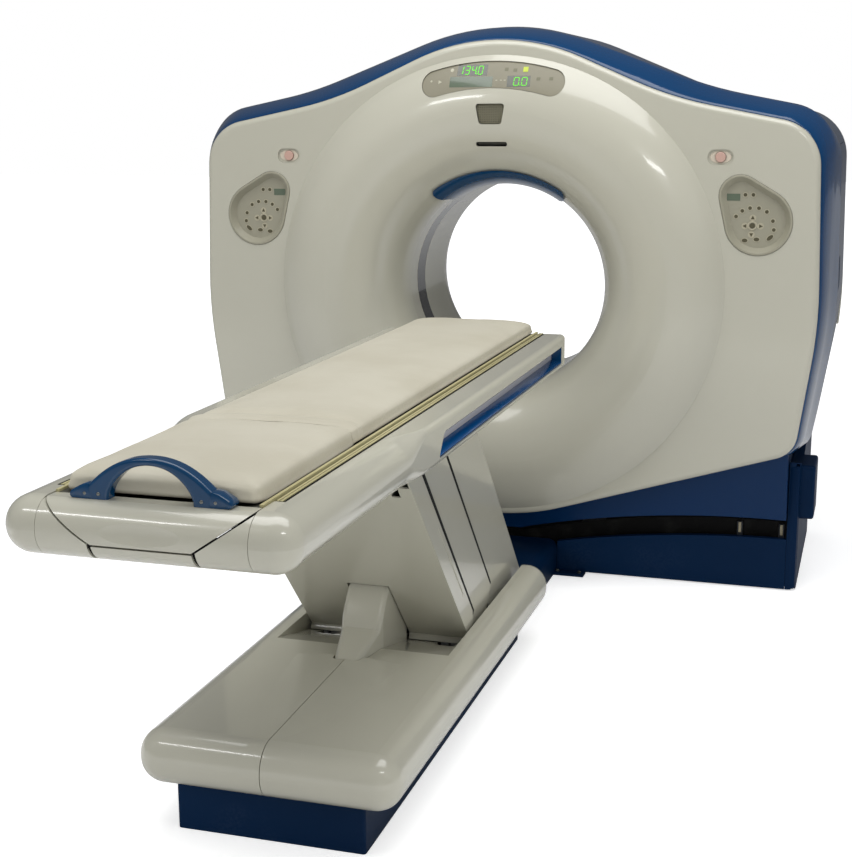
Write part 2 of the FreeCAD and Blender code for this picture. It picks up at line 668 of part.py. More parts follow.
def make_lower_front_cover():
    """Slanting blue cover under the front cover, with a return along its lower edge."""
    slab = along_x([(LOWER_TOP_Y - WALL, LOWER_TOP_Z, 0), (LOWER_TOP_Y, LOWER_TOP_Z, 0),
                    (LOWER_FOOT_Y + WALL, LOWER_EDGE[0][1], 0), (LOWER_FOOT_Y, LOWER_EDGE[0][1], 0)],
                   -INNER_HALF, INNER_HALF)
    slab = slab.common(edged_plate(LOWER_EDGE, -300, -100, LOWER_TOP_Z))
    foot = edged_plate(LOWER_EDGE, LOWER_FOOT_Y - 2, LOWER_FOOT_Y + 40, LOWER_TOP_Z)
    foot = foot.cut(edged_plate(LOWER_EDGE, LOWER_FOOT_Y - 3, LOWER_FOOT_Y + 41, LOWER_TOP_Z + 50, -WALL))
    side = along_x([(LOWER_TOP_Y - WALL, LOWER_TOP_Z, 0), (LOWER_TOP_Y + 45, LOWER_TOP_Z, 0),
                    (LOWER_FOOT_Y + 40, LOWER_EDGE[2][1], 0), (LOWER_FOOT_Y, LOWER_EDGE[2][1], 0)],
                   INNER_HALF - WALL, INNER_HALF)
    cover = join([slab, foot, side, mirrored(side)])
    behind = rod_y(0, ISO_Z, flank_foot_r() - 14, FACE_Y, FACE_Y + 400)
    return cover.cut(behind)


def make_scan_window():
    """Thin dark ring over the beam's path."""
    return ring_y(BORE_R, BORE_R + 3, -SCAN_HALF, SCAN_HALF)


# ---------------------------------------------------------------- inside the gantry
def make_stator_frame():
    """Ring casting on two trunnions."""
    ring = ring_y(BEARING_R_OUT, STATOR_R, *STATOR_Y)
    for turn in (35, 145, 215, 325):
        angle = math.radians(turn)
        ring = ring.cut(rod_y(632 * math.sin(angle), ISO_Z + 632 * math.cos(angle), 90, 0, 200))
    end_x = TOWER_X - 50
    arm = along_y([(700, ISO_Z - 200, 0), (end_x, ISO_Z - 90, 0), (end_x, ISO_Z + 90, 0), (700, ISO_Z + 200, 0)],
                  STATOR_Y[0] - 60, STATOR_Y[1])
    arm = arm.cut(rod_y(0, ISO_Z, ROTOR_R + 22, STATOR_Y[0] - 70, STATOR_Y[0]))
    boss = rod_x(0, ISO_Z, 78, end_x - 50, TOWER_X - 15)
    web_x = end_x - 70
    web = along_y([(web_x, ISO_Z - 78, 0), (end_x, ISO_Z - 78, 0), (end_x, ISO_Z + 78, 0), (web_x, ISO_Z + 78, 0)],
                  -40, STATOR_Y[0])
    shaft = rod_x(0, ISO_Z, TRUNNION_R, end_x, TOWER_X + TOWER_THICK + 8)
    side = join([arm, boss, web, shaft])
    return join([ring, side, mirrored(side)])


def make_rotor_drum():
    plate = ring_y(JOURNAL_R, ROTOR_R, *ROTOR_Y)
    journal = ring_y(JOURNAL_R, BEARING_R_IN - RUNNING_FIT, ROTOR_Y[1], STATOR_Y[1] + 12)
    drum = plate.fuse(journal).removeSplitter()
    for turn in (60, 120, 240, 300):
        angle = math.radians(turn)
        drum = drum.cut(rod_y(585 * math.sin(angle), ISO_Z + 585 * math.cos(angle), 60, 0, 100))
    return drum


def make_xray_tube():
    """Tube housing with its end bells, on the rotor's front side."""
    z = ISO_Z + FOCUS_R + 45
    body = rod_y(0, z, 78, -104, ROTOR_Y[0])
    bell = rod_y(0, z, 58, -128, -104)
    port = box((-34, 34), (-34, 34), (z - 92, z - 60))
    return join([body, bell, port])


def make_collimator():
    z = ISO_Z + FOCUS_R + 45 - 92
    block = box((-70, 70), (-42, ROTOR_Y[0]), (z - 52, z))
    return block.cut(box((-45, 45), (-12, 12), (z - 60, z + 10)))


def make_detector():
    """Arc of detector modules centred on the focal spot."""
    z = ISO_Z + FOCUS_R
    arc = rod_y(0, z, DETECTOR_R + DETECTOR_THICK, -46, ROTOR_Y[0])
    arc = arc.cut(rod_y(0, z, DETECTOR_R, -60, ROTOR_Y[0] + 10))
    reach = DETECTOR_R * 2
    spread = math.tan(math.radians(FAN_HALF)) * reach
    fan = along_y([(0, z, 0), (spread, z - reach, 0), (-spread, z - reach, 0)], -60, ROTOR_Y[0] + 10)
    return arc.common(fan)


def make_generator():
    corners = [(470, ISO_Z - 150, 12), (650, ISO_Z - 110, 12), (650, ISO_Z + 110, 12), (470, ISO_Z + 150, 12)]
    return along_y(corners, -110, ROTOR_Y[0])


# ---------------------------------------------------------------- stationary base
def make_base_frame():
    """Welded frame on its pads: two long beams, end beams, tie beams and the stop lugs."""
    top = FRAME_Z + FRAME_TUBE
    beams = []
    for y in FRAME_BEAM_Y:
        beams.append(box((40 - TOWER_X, TOWER_X - 40), (y, y + FRAME_TUBE), (FRAME_Z, top)))
    for x in (-TOWER_X, -300.0, 220.0, TOWER_X - FRAME_TUBE):
        beams.append(box((x, x + FRAME_TUBE), (FRAME_BEAM_Y[0], 590), (FRAME_Z, top)))
    for x in LUG_X:
        lug = lug_block(x, 0)
        beams += [lug, mirrored(lug)]
    return join(beams)


def lug_block(x, gap):
    """Stop lug of the tilt, seen in the slot."""
    half = LUG_W / 2 + gap
    return box((x - half, x + half), (BASE_FRONT_Y + 26 - gap, FRAME_BEAM_Y[0] + 6 + gap),
               (FRAME_Z + FRAME_TUBE - 10, LUG_TOP_Z + gap))


def make_front_skirt():
    """Dark blue skirt under the slot, with a rolled upper edge."""
    half = SKIRT_EDGE[2][0]
    skirt = edged_plate(SKIRT_EDGE, BASE_FRONT_Y, BASE_FRONT_Y + SKIRT_WALL, 4, 0, half)
    lip = edged_plate(SKIRT_EDGE, BASE_FRONT_Y, BASE_FRONT_Y + 22, 4, 0, half)
    lip = lip.cut(edged_plate(SKIRT_EDGE, BASE_FRONT_Y - 1, BASE_FRONT_Y + 23, -20, SKIRT_WALL, half))
    skirt = skirt.fuse(lip).removeSplitter()
    return skirt.cut(box((-DOCK_HALF - 2, DOCK_HALF + 2), (BASE_FRONT_Y - 5, BASE_FRONT_Y + 60), (0, DOCK_H + 2)))


def make_slot_shield():
    """Black sheet that closes the view through the slot."""
    y = BASE_FRONT_Y + 34
    sheet = edged_plate(LOWER_EDGE, y, y + 3, FRAME_Z + FRAME_TUBE, SHIELD_DROP, INNER_HALF - 4)
    for x in LUG_X:
        sheet = sheet.cut(lug_block(x, 2)).cut(mirrored(lug_block(x, 2)))
    return sheet


def make_rear_skirt():
    corners = [(-INNER_HALF, 4, 0), (INNER_HALF, 4, 0), (INNER_HALF, REAR_SKIRT_H, 30), (-INNER_HALF, REAR_SKIRT_H, 30)]
    skirt = along_y(corners, BASE_REAR_Y - SKIRT_WALL, BASE_REAR_Y)
    return skirt.fuse(box((88 - INNER_HALF, INNER_HALF - 88), (BASE_REAR_Y - 44, BASE_REAR_Y), (60, 60 + SKIRT_WALL))).removeSplitter()


def side_profile(depth):
    """Side cover of the base in (y, z): its top follows the tilting covers' swing."""
    radius = SWING_R + SWING_GAP + depth
    front = BASE_FRONT_Y + depth
    rear = BASE_REAR_Y - depth
    flat_z = 560.0 - depth
    meet_y = math.sqrt(radius ** 2 - (ISO_Z - flat_z) ** 2)
    front_z = ISO_Z - math.sqrt(radius ** 2 - front ** 2)
    foot = 4.0
    middle = vec(0, 0, ISO_Z - radius)
    return (vec(0, front, foot), vec(0, front, front_z), middle, vec(0, meet_y, flat_z), vec(0, rear, flat_z),
            vec(0, rear, foot))


def side_block(x_from, x_to, depth):
    foot_front, front_top, middle, meet, rear_top, foot_rear = side_profile(depth)
    edges = [line(foot_front, front_top), Part.Arc(front_top, middle, meet).toShape(), line(meet, rear_top),
             line(rear_top, foot_rear), line(foot_rear, foot_front)]
    face = Part.Face(Part.Wire(edges))
    face.translate(vec(x_from, 0, 0))
    return face.extrude(vec(x_to - x_from, 0, 0))


def make_base_side_cover():
    """Side cover of the base, right side: open towards the middle, with its bulge."""
    inner_x = INNER_HALF + 4
    block = side_block(inner_x, BASE_HALF, 0)
    posts = [e for e in block.Edges if e.BoundBox.XLength < 0.01 and e.BoundBox.XMin > BASE_HALF - 0.01
             and e.BoundBox.YLength < 0.01]
    block = block.makeFillet(BASE_CORNER_R, posts)
    block = block.cut(side_block(inner_x - 1, BASE_HALF - SKIRT_WALL, SKIRT_WALL))
    bump = along_x([(BUMP_Y[0], BUMP_Z[0], 14), (BUMP_Y[1], BUMP_Z[0], 14), (BUMP_Y[1], BUMP_Z[1], 14),
                    (BUMP_Y[0], BUMP_Z[1], 14)], BASE_HALF - 1, BUMP_X)
    face = [e for e in bump.Edges if e.BoundBox.XMin > BUMP_X - 0.01]
    bump = bump.makeFillet(10, face)
    tower_way = box((INNER_HALF, BASE_HALF - SKIRT_WALL), (226, 390), (460, 565))
    return block.fuse(bump).cut(tower_way).removeSplitter()


def make_tower():
    """Upright plate that carries one trunnion, right side: it passes behind the swing of the front covers."""
    corners = [(40, FRAME_Z, 0), (430, FRAME_Z, 0), (340, 500, 150), (300, 610, 60), (88, ISO_Z, 0),
               (88, ISO_Z + 60, 60), (-88, ISO_Z + 60, 60), (-88, ISO_Z - 40, 60), (212, 567, 40), (244, 493, 60),
               (150, 250, 100)]
    plate = along_x(corners, TOWER_X, TOWER_X + TOWER_THICK)
    boss = rod_x(0, ISO_Z, TOWER_BOSS_R, TOWER_X - 8, TOWER_X + TOWER_THICK)
    plate = plate.fuse(boss)
    return plate.cut(rod_x(0, ISO_Z, TRUNNION_R + RUNNING_FIT, TOWER_X - 20, TOWER_X + TOWER_THICK + 20))


def make_levelling_pads():
    """Feet under the base frame; the middle one stands on the origin."""
    places = [(0.0, 0.0)]
    for x in (TOWER_X - 120, 300.0):
        for y in (FRAME_BEAM_Y[0] + FRAME_TUBE / 2, FRAME_BEAM_Y[1] + FRAME_TUBE / 2):
            places += [(x, y), (-x, y)]
    pads = [rod_z(x, y, PAD_R, 0, 7).fuse(rod_z(x, y, 14, 7, FRAME_Z)) for x, y in places]
    return Part.makeCompound(pads)


def make_docking_cover():
    """Duct on the floor between the table base and the gantry, with its foot plates."""
    half = [(0, 0, 0), (DOCK_HALF, 0, 0), (DOCK_HALF, DOCK_H, 36), (0, DOCK_H, 0)]
    duct = along_y(whole(half), PLINTH_FAR_Y + 1, BASE_FRONT_Y + 20)
    half_in = [(0, -5, 0), (DOCK_HALF - WALL, -5, 0), (DOCK_HALF - WALL, DOCK_H - WALL, 31), (0, DOCK_H - WALL, 0)]
    duct = duct.cut(along_y(whole(half_in), PLINTH_FAR_Y, BASE_FRONT_Y + 21))
    plate = box((DOCK_HALF - 10, DOCK_HALF + 106), (-196, BASE_FRONT_Y - 1), (0, 9))
    return join([duct, plate, mirrored(plate)])


# ---------------------------------------------------------------- table base
def base_pillow(wall):
    """Rounded slab of the table base, before its well is cut; wall > 0 gives its inside."""
    top = BASE_TOP_Z - RIDGE_H - wall
    slab = box((-BASE_W + wall, BASE_W - wall), (BASE_NEAR_Y + wall, BASE_FAR_Y - wall), (BASE_LOW_Z + wall, top))
    posts = [e for e in slab.Edges if e.BoundBox.ZLength > 50]
    slab = slab.makeFillet(BASE_ROUND + 4 - wall, posts)
    rims = [e for e in slab.Edges if e.BoundBox.ZLength < 0.01]
    return slab.makeFillet((top - BASE_LOW_Z - wall) / 2 - 4, rims)


def knee_plan(gap, z_from, z_to):
    """Block with the knee's plan: full width at the lift, narrower at its near end."""
    half = [(0, KNEE_NEAR_Y - gap, 0), (KNEE_NEAR_HALF + gap, KNEE_NEAR_Y - gap, 12),
            (KNEE_HALF + gap, KNEE_TAPER_Y, 0), (KNEE_HALF + gap, WELL_Y[0] + 5, 0), (0, WELL_Y[0] + 5, 0)]
    return along_z(whole(half), z_from, z_to)


def base_cuts(wall):
    """Well, scoop and knee seat of the table base; wall > 0 keeps a wall round them."""
    half = WELL_HALF + wall
    scoop = along_x([(SCOOP_NEAR_Y - wall, BASE_TOP_Z + 1, 0), (SCOOP_NEAR_Y - wall, BASE_TOP_Z - wall, 0),
                     (WELL_Y[0] - 2, SCOOP_LOW_Z - wall, 0), (WELL_Y[0] + 30, SCOOP_LOW_Z - wall, 0),
                     (WELL_Y[0] + 30, BASE_TOP_Z + 60, 0), (SCOOP_NEAR_Y - wall, BASE_TOP_Z + 60, 0)], -half, half)
    well = box((-half, half), (WELL_Y[0] - wall, WELL_Y[1]), (BASE_LOW_Z - 1, BASE_TOP_Z + 60))
    knee_seat = knee_plan(1 + wall, KNEE_LOW_Z - 1 - wall, BASE_TOP_Z + 60)
    cheeks = box((ARM_X[0] - 6 - wall, CHEEK_X[1] + 6 + wall), (WELL_Y[0] - 42 - wall, WELL_Y[0] + 5),
                 (BASE_LOW_Z - 1, BASE_TOP_Z + 60))
    return [scoop, well, knee_seat, cheeks, mirrored(cheeks)]


def make_base_cover():
    """Right half of the table base cover: pillow edge, ridge, scoop and well."""
    slab = base_pillow(0)
    flat = BASE_TOP_Z - RIDGE_H
    ridge = Part.makeLoft([
        rounded_wire([(-170, flat - 4, 0), (170, flat - 4, 0), (0, flat + 0.5, 0)],
                     lambda a, b: vec(a, BASE_NEAR_Y + 70, b)),
        rounded_wire([(-190, flat - 4, 0), (190, flat - 4, 0), (0, BASE_TOP_Z + 4, 0)],
                     lambda a, b: vec(a, SCOOP_NEAR_Y - 60, b))], True, True)
    slab = slab.fuse(ridge)
    inside = base_pillow(BASE_WALL)
    inside = inside.fuse(box((-WELL_HALF, WELL_HALF), (BASE_NEAR_Y + 70, BASE_FAR_Y - 20),
                             (BASE_LOW_Z - 1, BASE_LOW_Z + 40)))
    for block in base_cuts(BASE_WALL):
        inside = inside.cut(block)
    slab = slab.cut(inside)
    for block in base_cuts(0):
        slab = slab.cut(block)
    return slab.common(box((SEAM / 2, OUT), (-OUT, 0), (0, OUT)))


def at_leg(s, d, pivot_y, lean=LEAN):
    """Point along a leg from its lower pivot: s up the leg, d square to it, away from the foot end."""
    angle = math.radians(lean)
    return (pivot_y - s * math.sin(angle) + d * math.cos(angle),
            PIVOT_Z + s * math.cos(angle) + d * math.sin(angle))


def leg_slab(corners, pivot_y, x_from, x_to):
    """Plate drawn along a leg: corners (s, d, radius)."""
    placed = [at_leg(s, d, pivot_y) + (r,) for s, d, r in corners]
    return along_x(placed, x_from, x_to)


def make_knee_cover():
    """Prow that closes the front of the lift: its back is round about the front pivot, its near end narrow."""
    top_y, top_z = at_leg(KNEE_TOP, 8, FRONT_PIVOT_Y)
    low_angle = math.radians(66.5)
    front = vec(0, FRONT_PIVOT_Y - KNEE_TOP * math.sin(low_angle), PIVOT_Z + KNEE_TOP * math.cos(low_angle))
    mid_angle = (low_angle + math.radians(LEAN)) / 2
    middle = vec(0, FRONT_PIVOT_Y - KNEE_TOP * math.sin(mid_angle), PIVOT_Z + KNEE_TOP * math.cos(mid_angle))
    top_front = vec(0, *at_leg(KNEE_TOP, 0, FRONT_PIVOT_Y))
    points = [vec(0, KNEE_NEAR_Y, KNEE_LOW_Z), vec(0, KNEE_NEAR_Y, BASE_TOP_Z - 4)]
    foot = vec(0, *at_leg(70, 8, FRONT_PIVOT_Y))
    back = vec(0, WELL_Y[0] - 3, KNEE_LOW_Z)
    edges = [line(points[0], points[1]), line(points[1], front), Part.Arc(front, middle, top_front).toShape(),
             line(top_front, vec(0, top_y, top_z)), line(vec(0, top_y, top_z), foot), line(foot, back),
             line(back, points[0])]
    face = Part.Face(Part.Wire(edges))
    face.translate(vec(-KNEE_HALF - 20, 0, 0))
    knee = face.extrude(vec(2 * KNEE_HALF + 40, 0, 0))
    knee = knee.common(knee_plan(0, 0, OUT))
    rims = []
    for edge in knee.Edges:
        span = edge.BoundBox
        rising = span.ZLength > 20 and span.ZMin > BASE_TOP_Z - 6 and span.XLength < 40
        if rising and span.YMin < top_y - 1 and abs(span.Center.x) > 20:
            rims.append(edge)
    return knee.makeFillet(15, rims)


def make_plinth():
    """Navy plinth, open at the top for the lift."""
    half = [(0, PLINTH_NEAR_Y, 0), (PLINTH_HALF, PLINTH_NEAR_Y, 8), (PLINTH_HALF, PLINTH_FAR_Y, 8), (0, PLINTH_FAR_Y, 0)]
    outer = along_z(whole(half), 0, BASE_LOW_Z)
    return outer.cut(along_z(inset(whole(half), WALL), -1, BASE_LOW_Z + 1))


def make_table_base_frame():
    """Steel cheeks that carry the lower pivots, on a floor plate."""
    floor = box((-PLINTH_HALF + WALL + 4, PLINTH_HALF - WALL - 4), (-2000, PLINTH_FAR_Y - WALL - 4), (6, 18))
    cheek = along_x([(-1600, 18, 0), (PLINTH_FAR_Y - 10, 18, 0), (PLINTH_FAR_Y - 10, 60, 0),
                     (REAR_PIVOT_Y + HUB_R, PIVOT_Z + HUB_R, HUB_R - 2), (REAR_PIVOT_Y - HUB_R, PIVOT_Z + HUB_R, HUB_R - 2),
                     (REAR_PIVOT_Y - HUB_R - 20, 120, 20), (MID_PIVOT_Y, 120, 0),
                     (FRONT_PIVOT_Y + HUB_R + 20, 120, 20), (FRONT_PIVOT_Y + HUB_R, PIVOT_Z + HUB_R, HUB_R - 2),
                     (FRONT_PIVOT_Y - HUB_R, PIVOT_Z + HUB_R, HUB_R - 2), (FRONT_PIVOT_Y - HUB_R, PIVOT_Z - 24, 0),
                    (FRONT_PIVOT_Y - HUB_R - 30, 60, 20),
                     (-1600, 60, 0)], *CHEEK_X)
    post = along_x([(MID_PIVOT_Y - 24, 60, 0), (MID_PIVOT_Y + 24, 60, 0), (MID_PIVOT_Y + 24, PIVOT_Z + 24, 22),
                    (MID_PIVOT_Y - 24, PIVOT_Z + 24, 22)], *CHEEK_X)
    cheek = cheek.fuse(post).removeSplitter()
    for y, radius in lower_pins():
        cheek = cheek.cut(rod_x(y, PIVOT_Z, radius, CHEEK_X[0] - 5, CHEEK_X[1] + 5))
    pads = [rod_z(x, y, 30, 0, 6) for x in (-180, 180) for y in (-1940, -930)]
    return join([floor, cheek, mirrored(cheek)] + pads)


def lower_pins():
    return [(FRONT_PIVOT_Y, PIN_R), (MID_PIVOT_Y, MID_PIN_R), (REAR_PIVOT_Y, PIN_R)]


def make_lower_pins():
    pins = []
    for y, radius in lower_pins():
        reach = MID_HALF - LEG_WALL - 2 if radius == MID_PIN_R else CHEEK_X[1] + 8
        pins.append(rod_x(y, PIVOT_Z, radius, -reach, reach))
    return Part.makeCompound(pins)


def make_lift_drive():
    """Gear motor that drives the front leg, on the floor plate."""
    gearbox = box((-70, 70), (-1640, -1490), (18, 150))
    edges = [e for e in gearbox.Edges if e.BoundBox.YLength > 100]
    gearbox = gearbox.makeFillet(10, edges)
    motor = rod_y(0, 84, 52, -1860, -1640)
    return gearbox.fuse(motor).removeSplitter()


# ---------------------------------------------------------------- legs and their covers
def leg_body(pivot_y, web):
    """Two arms with hubs and cross tubes; web is the arm's outline between the hubs."""
    arm = leg_slab(web, pivot_y, *ARM_X)
    for s in (0, LEG):
        y, z = at_leg(s, 0, pivot_y)
        arm = arm.fuse(rod_x(y, z, HUB_R, *ARM_X))
        arm = arm.cut(rod_x(y, z, PIN_R + RUNNING_FIT, ARM_X[0] - 1, ARM_X[1] + 1))
    return arm.removeSplitter()


def cross_tube(s, d, pivot_y, radius, reach):
    y, z = at_leg(s, d, pivot_y)
    return rod_x(y, z, radius, -reach, reach)


def make_front_leg():
    web = [(0, -20, 0), (0, 25, 0), (30, 34, 0), (130, 64, 30), (690, 64, 30), (798, 30, 0), (LEG, 25, 0),
           (LEG, -20, 0), (788, 9, 0), (32, 9, 0)]
    arm = leg_body(FRONT_PIVOT_Y, web)
    tubes = [cross_tube(s, 38, FRONT_PIVOT_Y, 20, ARM_X[0] + 2) for s in (360, 660)]
    return join([arm, mirrored(arm)] + tubes)


def make_rear_leg():
    web = [(0, -HUB_R + 4, 0), (0, HUB_R - 4, 0), (LEG, HUB_R - 4, 0), (LEG, -HUB_R + 4, 0)]
    arm = leg_body(REAR_PIVOT_Y, web)
    tubes = [cross_tube(s, 0, REAR_PIVOT_Y, 20, ARM_X[0] + 2) for s in (260, 600)]
    return join([arm, mirrored(arm)] + tubes)


def make_near_cover():
    """Channel that faces the foot end, open to the legs, with a notch over the knee."""
    low, high = NEAR_SPAN
    side = leg_slab([(low, 0, 0), (low, NEAR_DEPTH - 20, 0), (60, NEAR_DEPTH, 0), (SIDE_TOP, NEAR_DEPTH, 0),
                     (SIDE_TOP, 0, 0)], FRONT_PIVOT_Y, NEAR_HALF - LEG_WALL, NEAR_HALF)
    face = leg_slab([(low, 0, 0), (low, LEG_WALL, 0), (high, LEG_WALL, 0), (high, 0, 0)], FRONT_PIVOT_Y,
                    -NEAR_HALF, NEAR_HALF)
    sector = leg_slab([(0, 0, 0), (60, 0, 0), (60, -60 * math.tan(math.radians(APRON_TURN)), 0)], FRONT_PIVOT_Y,
                      -NEAR_HALF, NEAR_HALF)
    apron = rod_x(FRONT_PIVOT_Y, PIVOT_Z, APRON_R, -NEAR_HALF, NEAR_HALF)
    apron = apron.cut(rod_x(FRONT_PIVOT_Y, PIVOT_Z, APRON_R - 3, -NEAR_HALF - 1, NEAR_HALF + 1)).common(sector)
    cover = join([face, side, mirrored(side), apron])
    notch = leg_slab([(-40, -60, 0), (-40, 20, 0), (KNEE_TOP + 5, 20, 0), (KNEE_TOP + 5, -60, 0)], FRONT_PIVOT_Y,
                     -KNEE_HALF - 3, KNEE_HALF + 3)
    groove = leg_slab([(180, 50, 0), (180, 56, 0), (520, 56, 0), (520, 50, 0)], FRONT_PIVOT_Y,
                      NEAR_HALF - 1.5, NEAR_HALF + 1)
    stay = leg_slab([(560, LEG_WALL, 0), (560, 9, 0), (600, 9, 0), (600, LEG_WALL, 0)], FRONT_PIVOT_Y,
                    -ARM_X[1], ARM_X[1])
    cover = cover.cut(notch).cut(groove).cut(mirrored(groove))
    cover = cover.fuse(stay)
    for x in (-CHEEK_X[1] - 4, CHEEK_X[0] - 4):
        lug_way = leg_slab([(high - 42, -2, 0), (high - 42, LEG_WALL + 1, 0), (high + 5, LEG_WALL + 1, 0),
                            (high + 5, -2, 0)], FRONT_PIVOT_Y, x, x + CHEEK_X[1] - CHEEK_X[0] + 8)
        cover = cover.cut(lug_way)
    return cover.removeSplitter()


def seam_d(offset, pivot_y):
    """Distance square to a leg of a seam that runs at this offset from the near face, at pivot height."""
    return (FRONT_PIVOT_Y + offset - pivot_y) * math.cos(math.radians(LEAN))


SEAM_2_OFFSET = 323.0          # second seam and far face, level distances from the near face
FAR_FACE_OFFSET = 649.0
NEAR_NEST = 15.0               # how far the middle cover runs in under the near one
FAR_NEST = 38.0                # how far the far cover runs in under the middle one


def make_mid_cover():
    """Two side plates on their own link, between the near and the far cover."""
    low_d = seam_d(NEAR_DEPTH / math.cos(math.radians(LEAN)), MID_PIVOT_Y) - NEAR_NEST
    high_d = seam_d(SEAM_2_OFFSET, MID_PIVOT_Y)
    side = leg_slab([(-20, low_d + 8, 0), (-20, 20, 0), (0, high_d, 0), (736, high_d, 0),
                     (LEG + 36, high_d - 58, 0), (SIDE_TOP, high_d - 70, 0), (SIDE_TOP, low_d, 0), (0, low_d, 0)],
                    MID_PIVOT_Y, MID_HALF - LEG_WALL, MID_HALF)
    hub = rod_x(MID_PIVOT_Y, PIVOT_Z, MID_HUB_R, CHEEK_X[1] + 3, MID_HALF - LEG_WALL)
    side = side.fuse(hub)
    side = side.cut(rod_x(MID_PIVOT_Y, PIVOT_Z, MID_PIN_R + RUNNING_FIT, CHEEK_X[1] - 5, MID_HALF - LEG_WALL))
    tie = cross_tube(705, 62, MID_PIVOT_Y, 9, MID_HALF - 2)
    return join([side, mirrored(side), tie])


def make_far_cover():
    """Channel that faces the gantry."""
    low_d = seam_d(SEAM_2_OFFSET, REAR_PIVOT_Y) - FAR_NEST
    high_d = seam_d(FAR_FACE_OFFSET, REAR_PIVOT_Y)
    outline = [(30, low_d, 0), (10, 0, 0), (-58, high_d, 0), (680, high_d, 0), (LEG + 16, high_d - 16, 0),
               (LEG + 78, 0, 0), (LEG + 126, low_d, 0)]
    side = leg_slab(outline, REAR_PIVOT_Y, FAR_HALF - LEG_WALL, FAR_HALF)
    face = leg_slab([(-58, high_d - LEG_WALL, 0), (-58, high_d, 0), (680, high_d, 0), (680, high_d - LEG_WALL, 0)],
                    REAR_PIVOT_Y, -FAR_HALF, FAR_HALF)
    stay = leg_slab([(400, HUB_R - 4, 0), (400, high_d - LEG_WALL, 0), (420, high_d - LEG_WALL, 0),
                     (420, HUB_R - 4, 0)], REAR_PIVOT_Y, ARM_X[0], ARM_X[1])
    side = side.cut(rod_x(REAR_PIVOT_Y, PIVOT_Z, PIN_R + 6, FAR_HALF - 20, FAR_HALF + 5))
    hub_way = leg_slab([(308, low_d - 1, 0), (308, low_d + 33, 0), (368, low_d + 33, 0), (368, low_d - 1, 0)],
                       REAR_PIVOT_Y, FAR_HALF - 10, FAR_HALF + 1)
    side = side.cut(hub_way)
    return join([side, mirrored(side), face, stay, mirrored(stay)])


# ---------------------------------------------------------------- table top
def top_pivot(pivot_y):
    return at_leg(LEG, 0, pivot_y)


def make_table_frame():
    """Two long beams under the cradle, cross plates and the lugs of the upper pivots."""
    outer = SEAM_X - 15
    beam = along_y([(132, FRAME_LOW_Z, 0), (outer, FRAME_LOW_Z, 0), (outer, 876, 0), (RAIL_INNER - 2, 892, 0),
                    (RAIL_INNER - 2, 901, 0), (RAIL_INNER - 14, 901, 0), (132, 850, 0)], FOOT_Y + 124, HEAD_Y - 12)
    parts = [beam, mirrored(beam)]
    for y in (-2560, -2230, -1972, -1459, -1100, -700):
        parts.append(box((-CHEEK_X[1], CHEEK_X[1]), (y - 50, y + 50), (FRAME_LOW_Z, FRAME_LOW_Z + 8)))
    for pivot in (FRONT_PIVOT_Y, REAR_PIVOT_Y):
        y, z = top_pivot(pivot)
        lug = along_x([(y - HUB_R, z - HUB_R, HUB_R - 3), (y + HUB_R, z - HUB_R, HUB_R - 3), (y + 60, FRAME_LOW_Z + 2, 0),
                       (y - 60, FRAME_LOW_Z + 2, 0)], CHEEK_X[0], CHEEK_X[1])
        lug = lug.cut(rod_x(y, z, PIN_R, CHEEK_X[0] - 1, CHEEK_X[1] + 1))
        parts += [lug, mirrored(lug)]
    return join(parts)


def make_upper_pins():
    pins = []
    for pivot in (FRONT_PIVOT_Y, REAR_PIVOT_Y):
        y, z = top_pivot(pivot)
        pins.append(rod_x(y, z, PIN_R, -CHEEK_X[1] - 4, CHEEK_X[1] + 4))
    return Part.makeCompound(pins)


def foot_body():
    """Full width rounded body of the foot end."""
    body = box((-TABLE_HALF, TABLE_HALF), (FOOT_Y, BULGE_END_Y + 60), (NOSE_LOW_Z, TOP_Z))
    rims = [e for e in body.Edges if e.BoundBox.YMin < BULGE_END_Y]
    rims = [e for e in rims if not (e.BoundBox.XLength > 10 and e.BoundBox.YMin > FOOT_Y + 10)]
    return body.makeFillet(NOSE_R, rims)


def rail_section(y, share):
    """Section of the right rail: share 1 is the round bulge, 0 the slim rail."""
    low = RAIL_LOW_Z + (NOSE_LOW_Z - RAIL_LOW_Z) * share
    radius = 14 + (NOSE_R - 14) * share
    corners = [(RAIL_INNER, low, 0), (TABLE_HALF, low, radius), (TABLE_HALF, TOP_Z, radius), (RAIL_INNER, TOP_Z, 0)]
    return rounded_wire(corners, lambda a, b: vec(a, y, b))


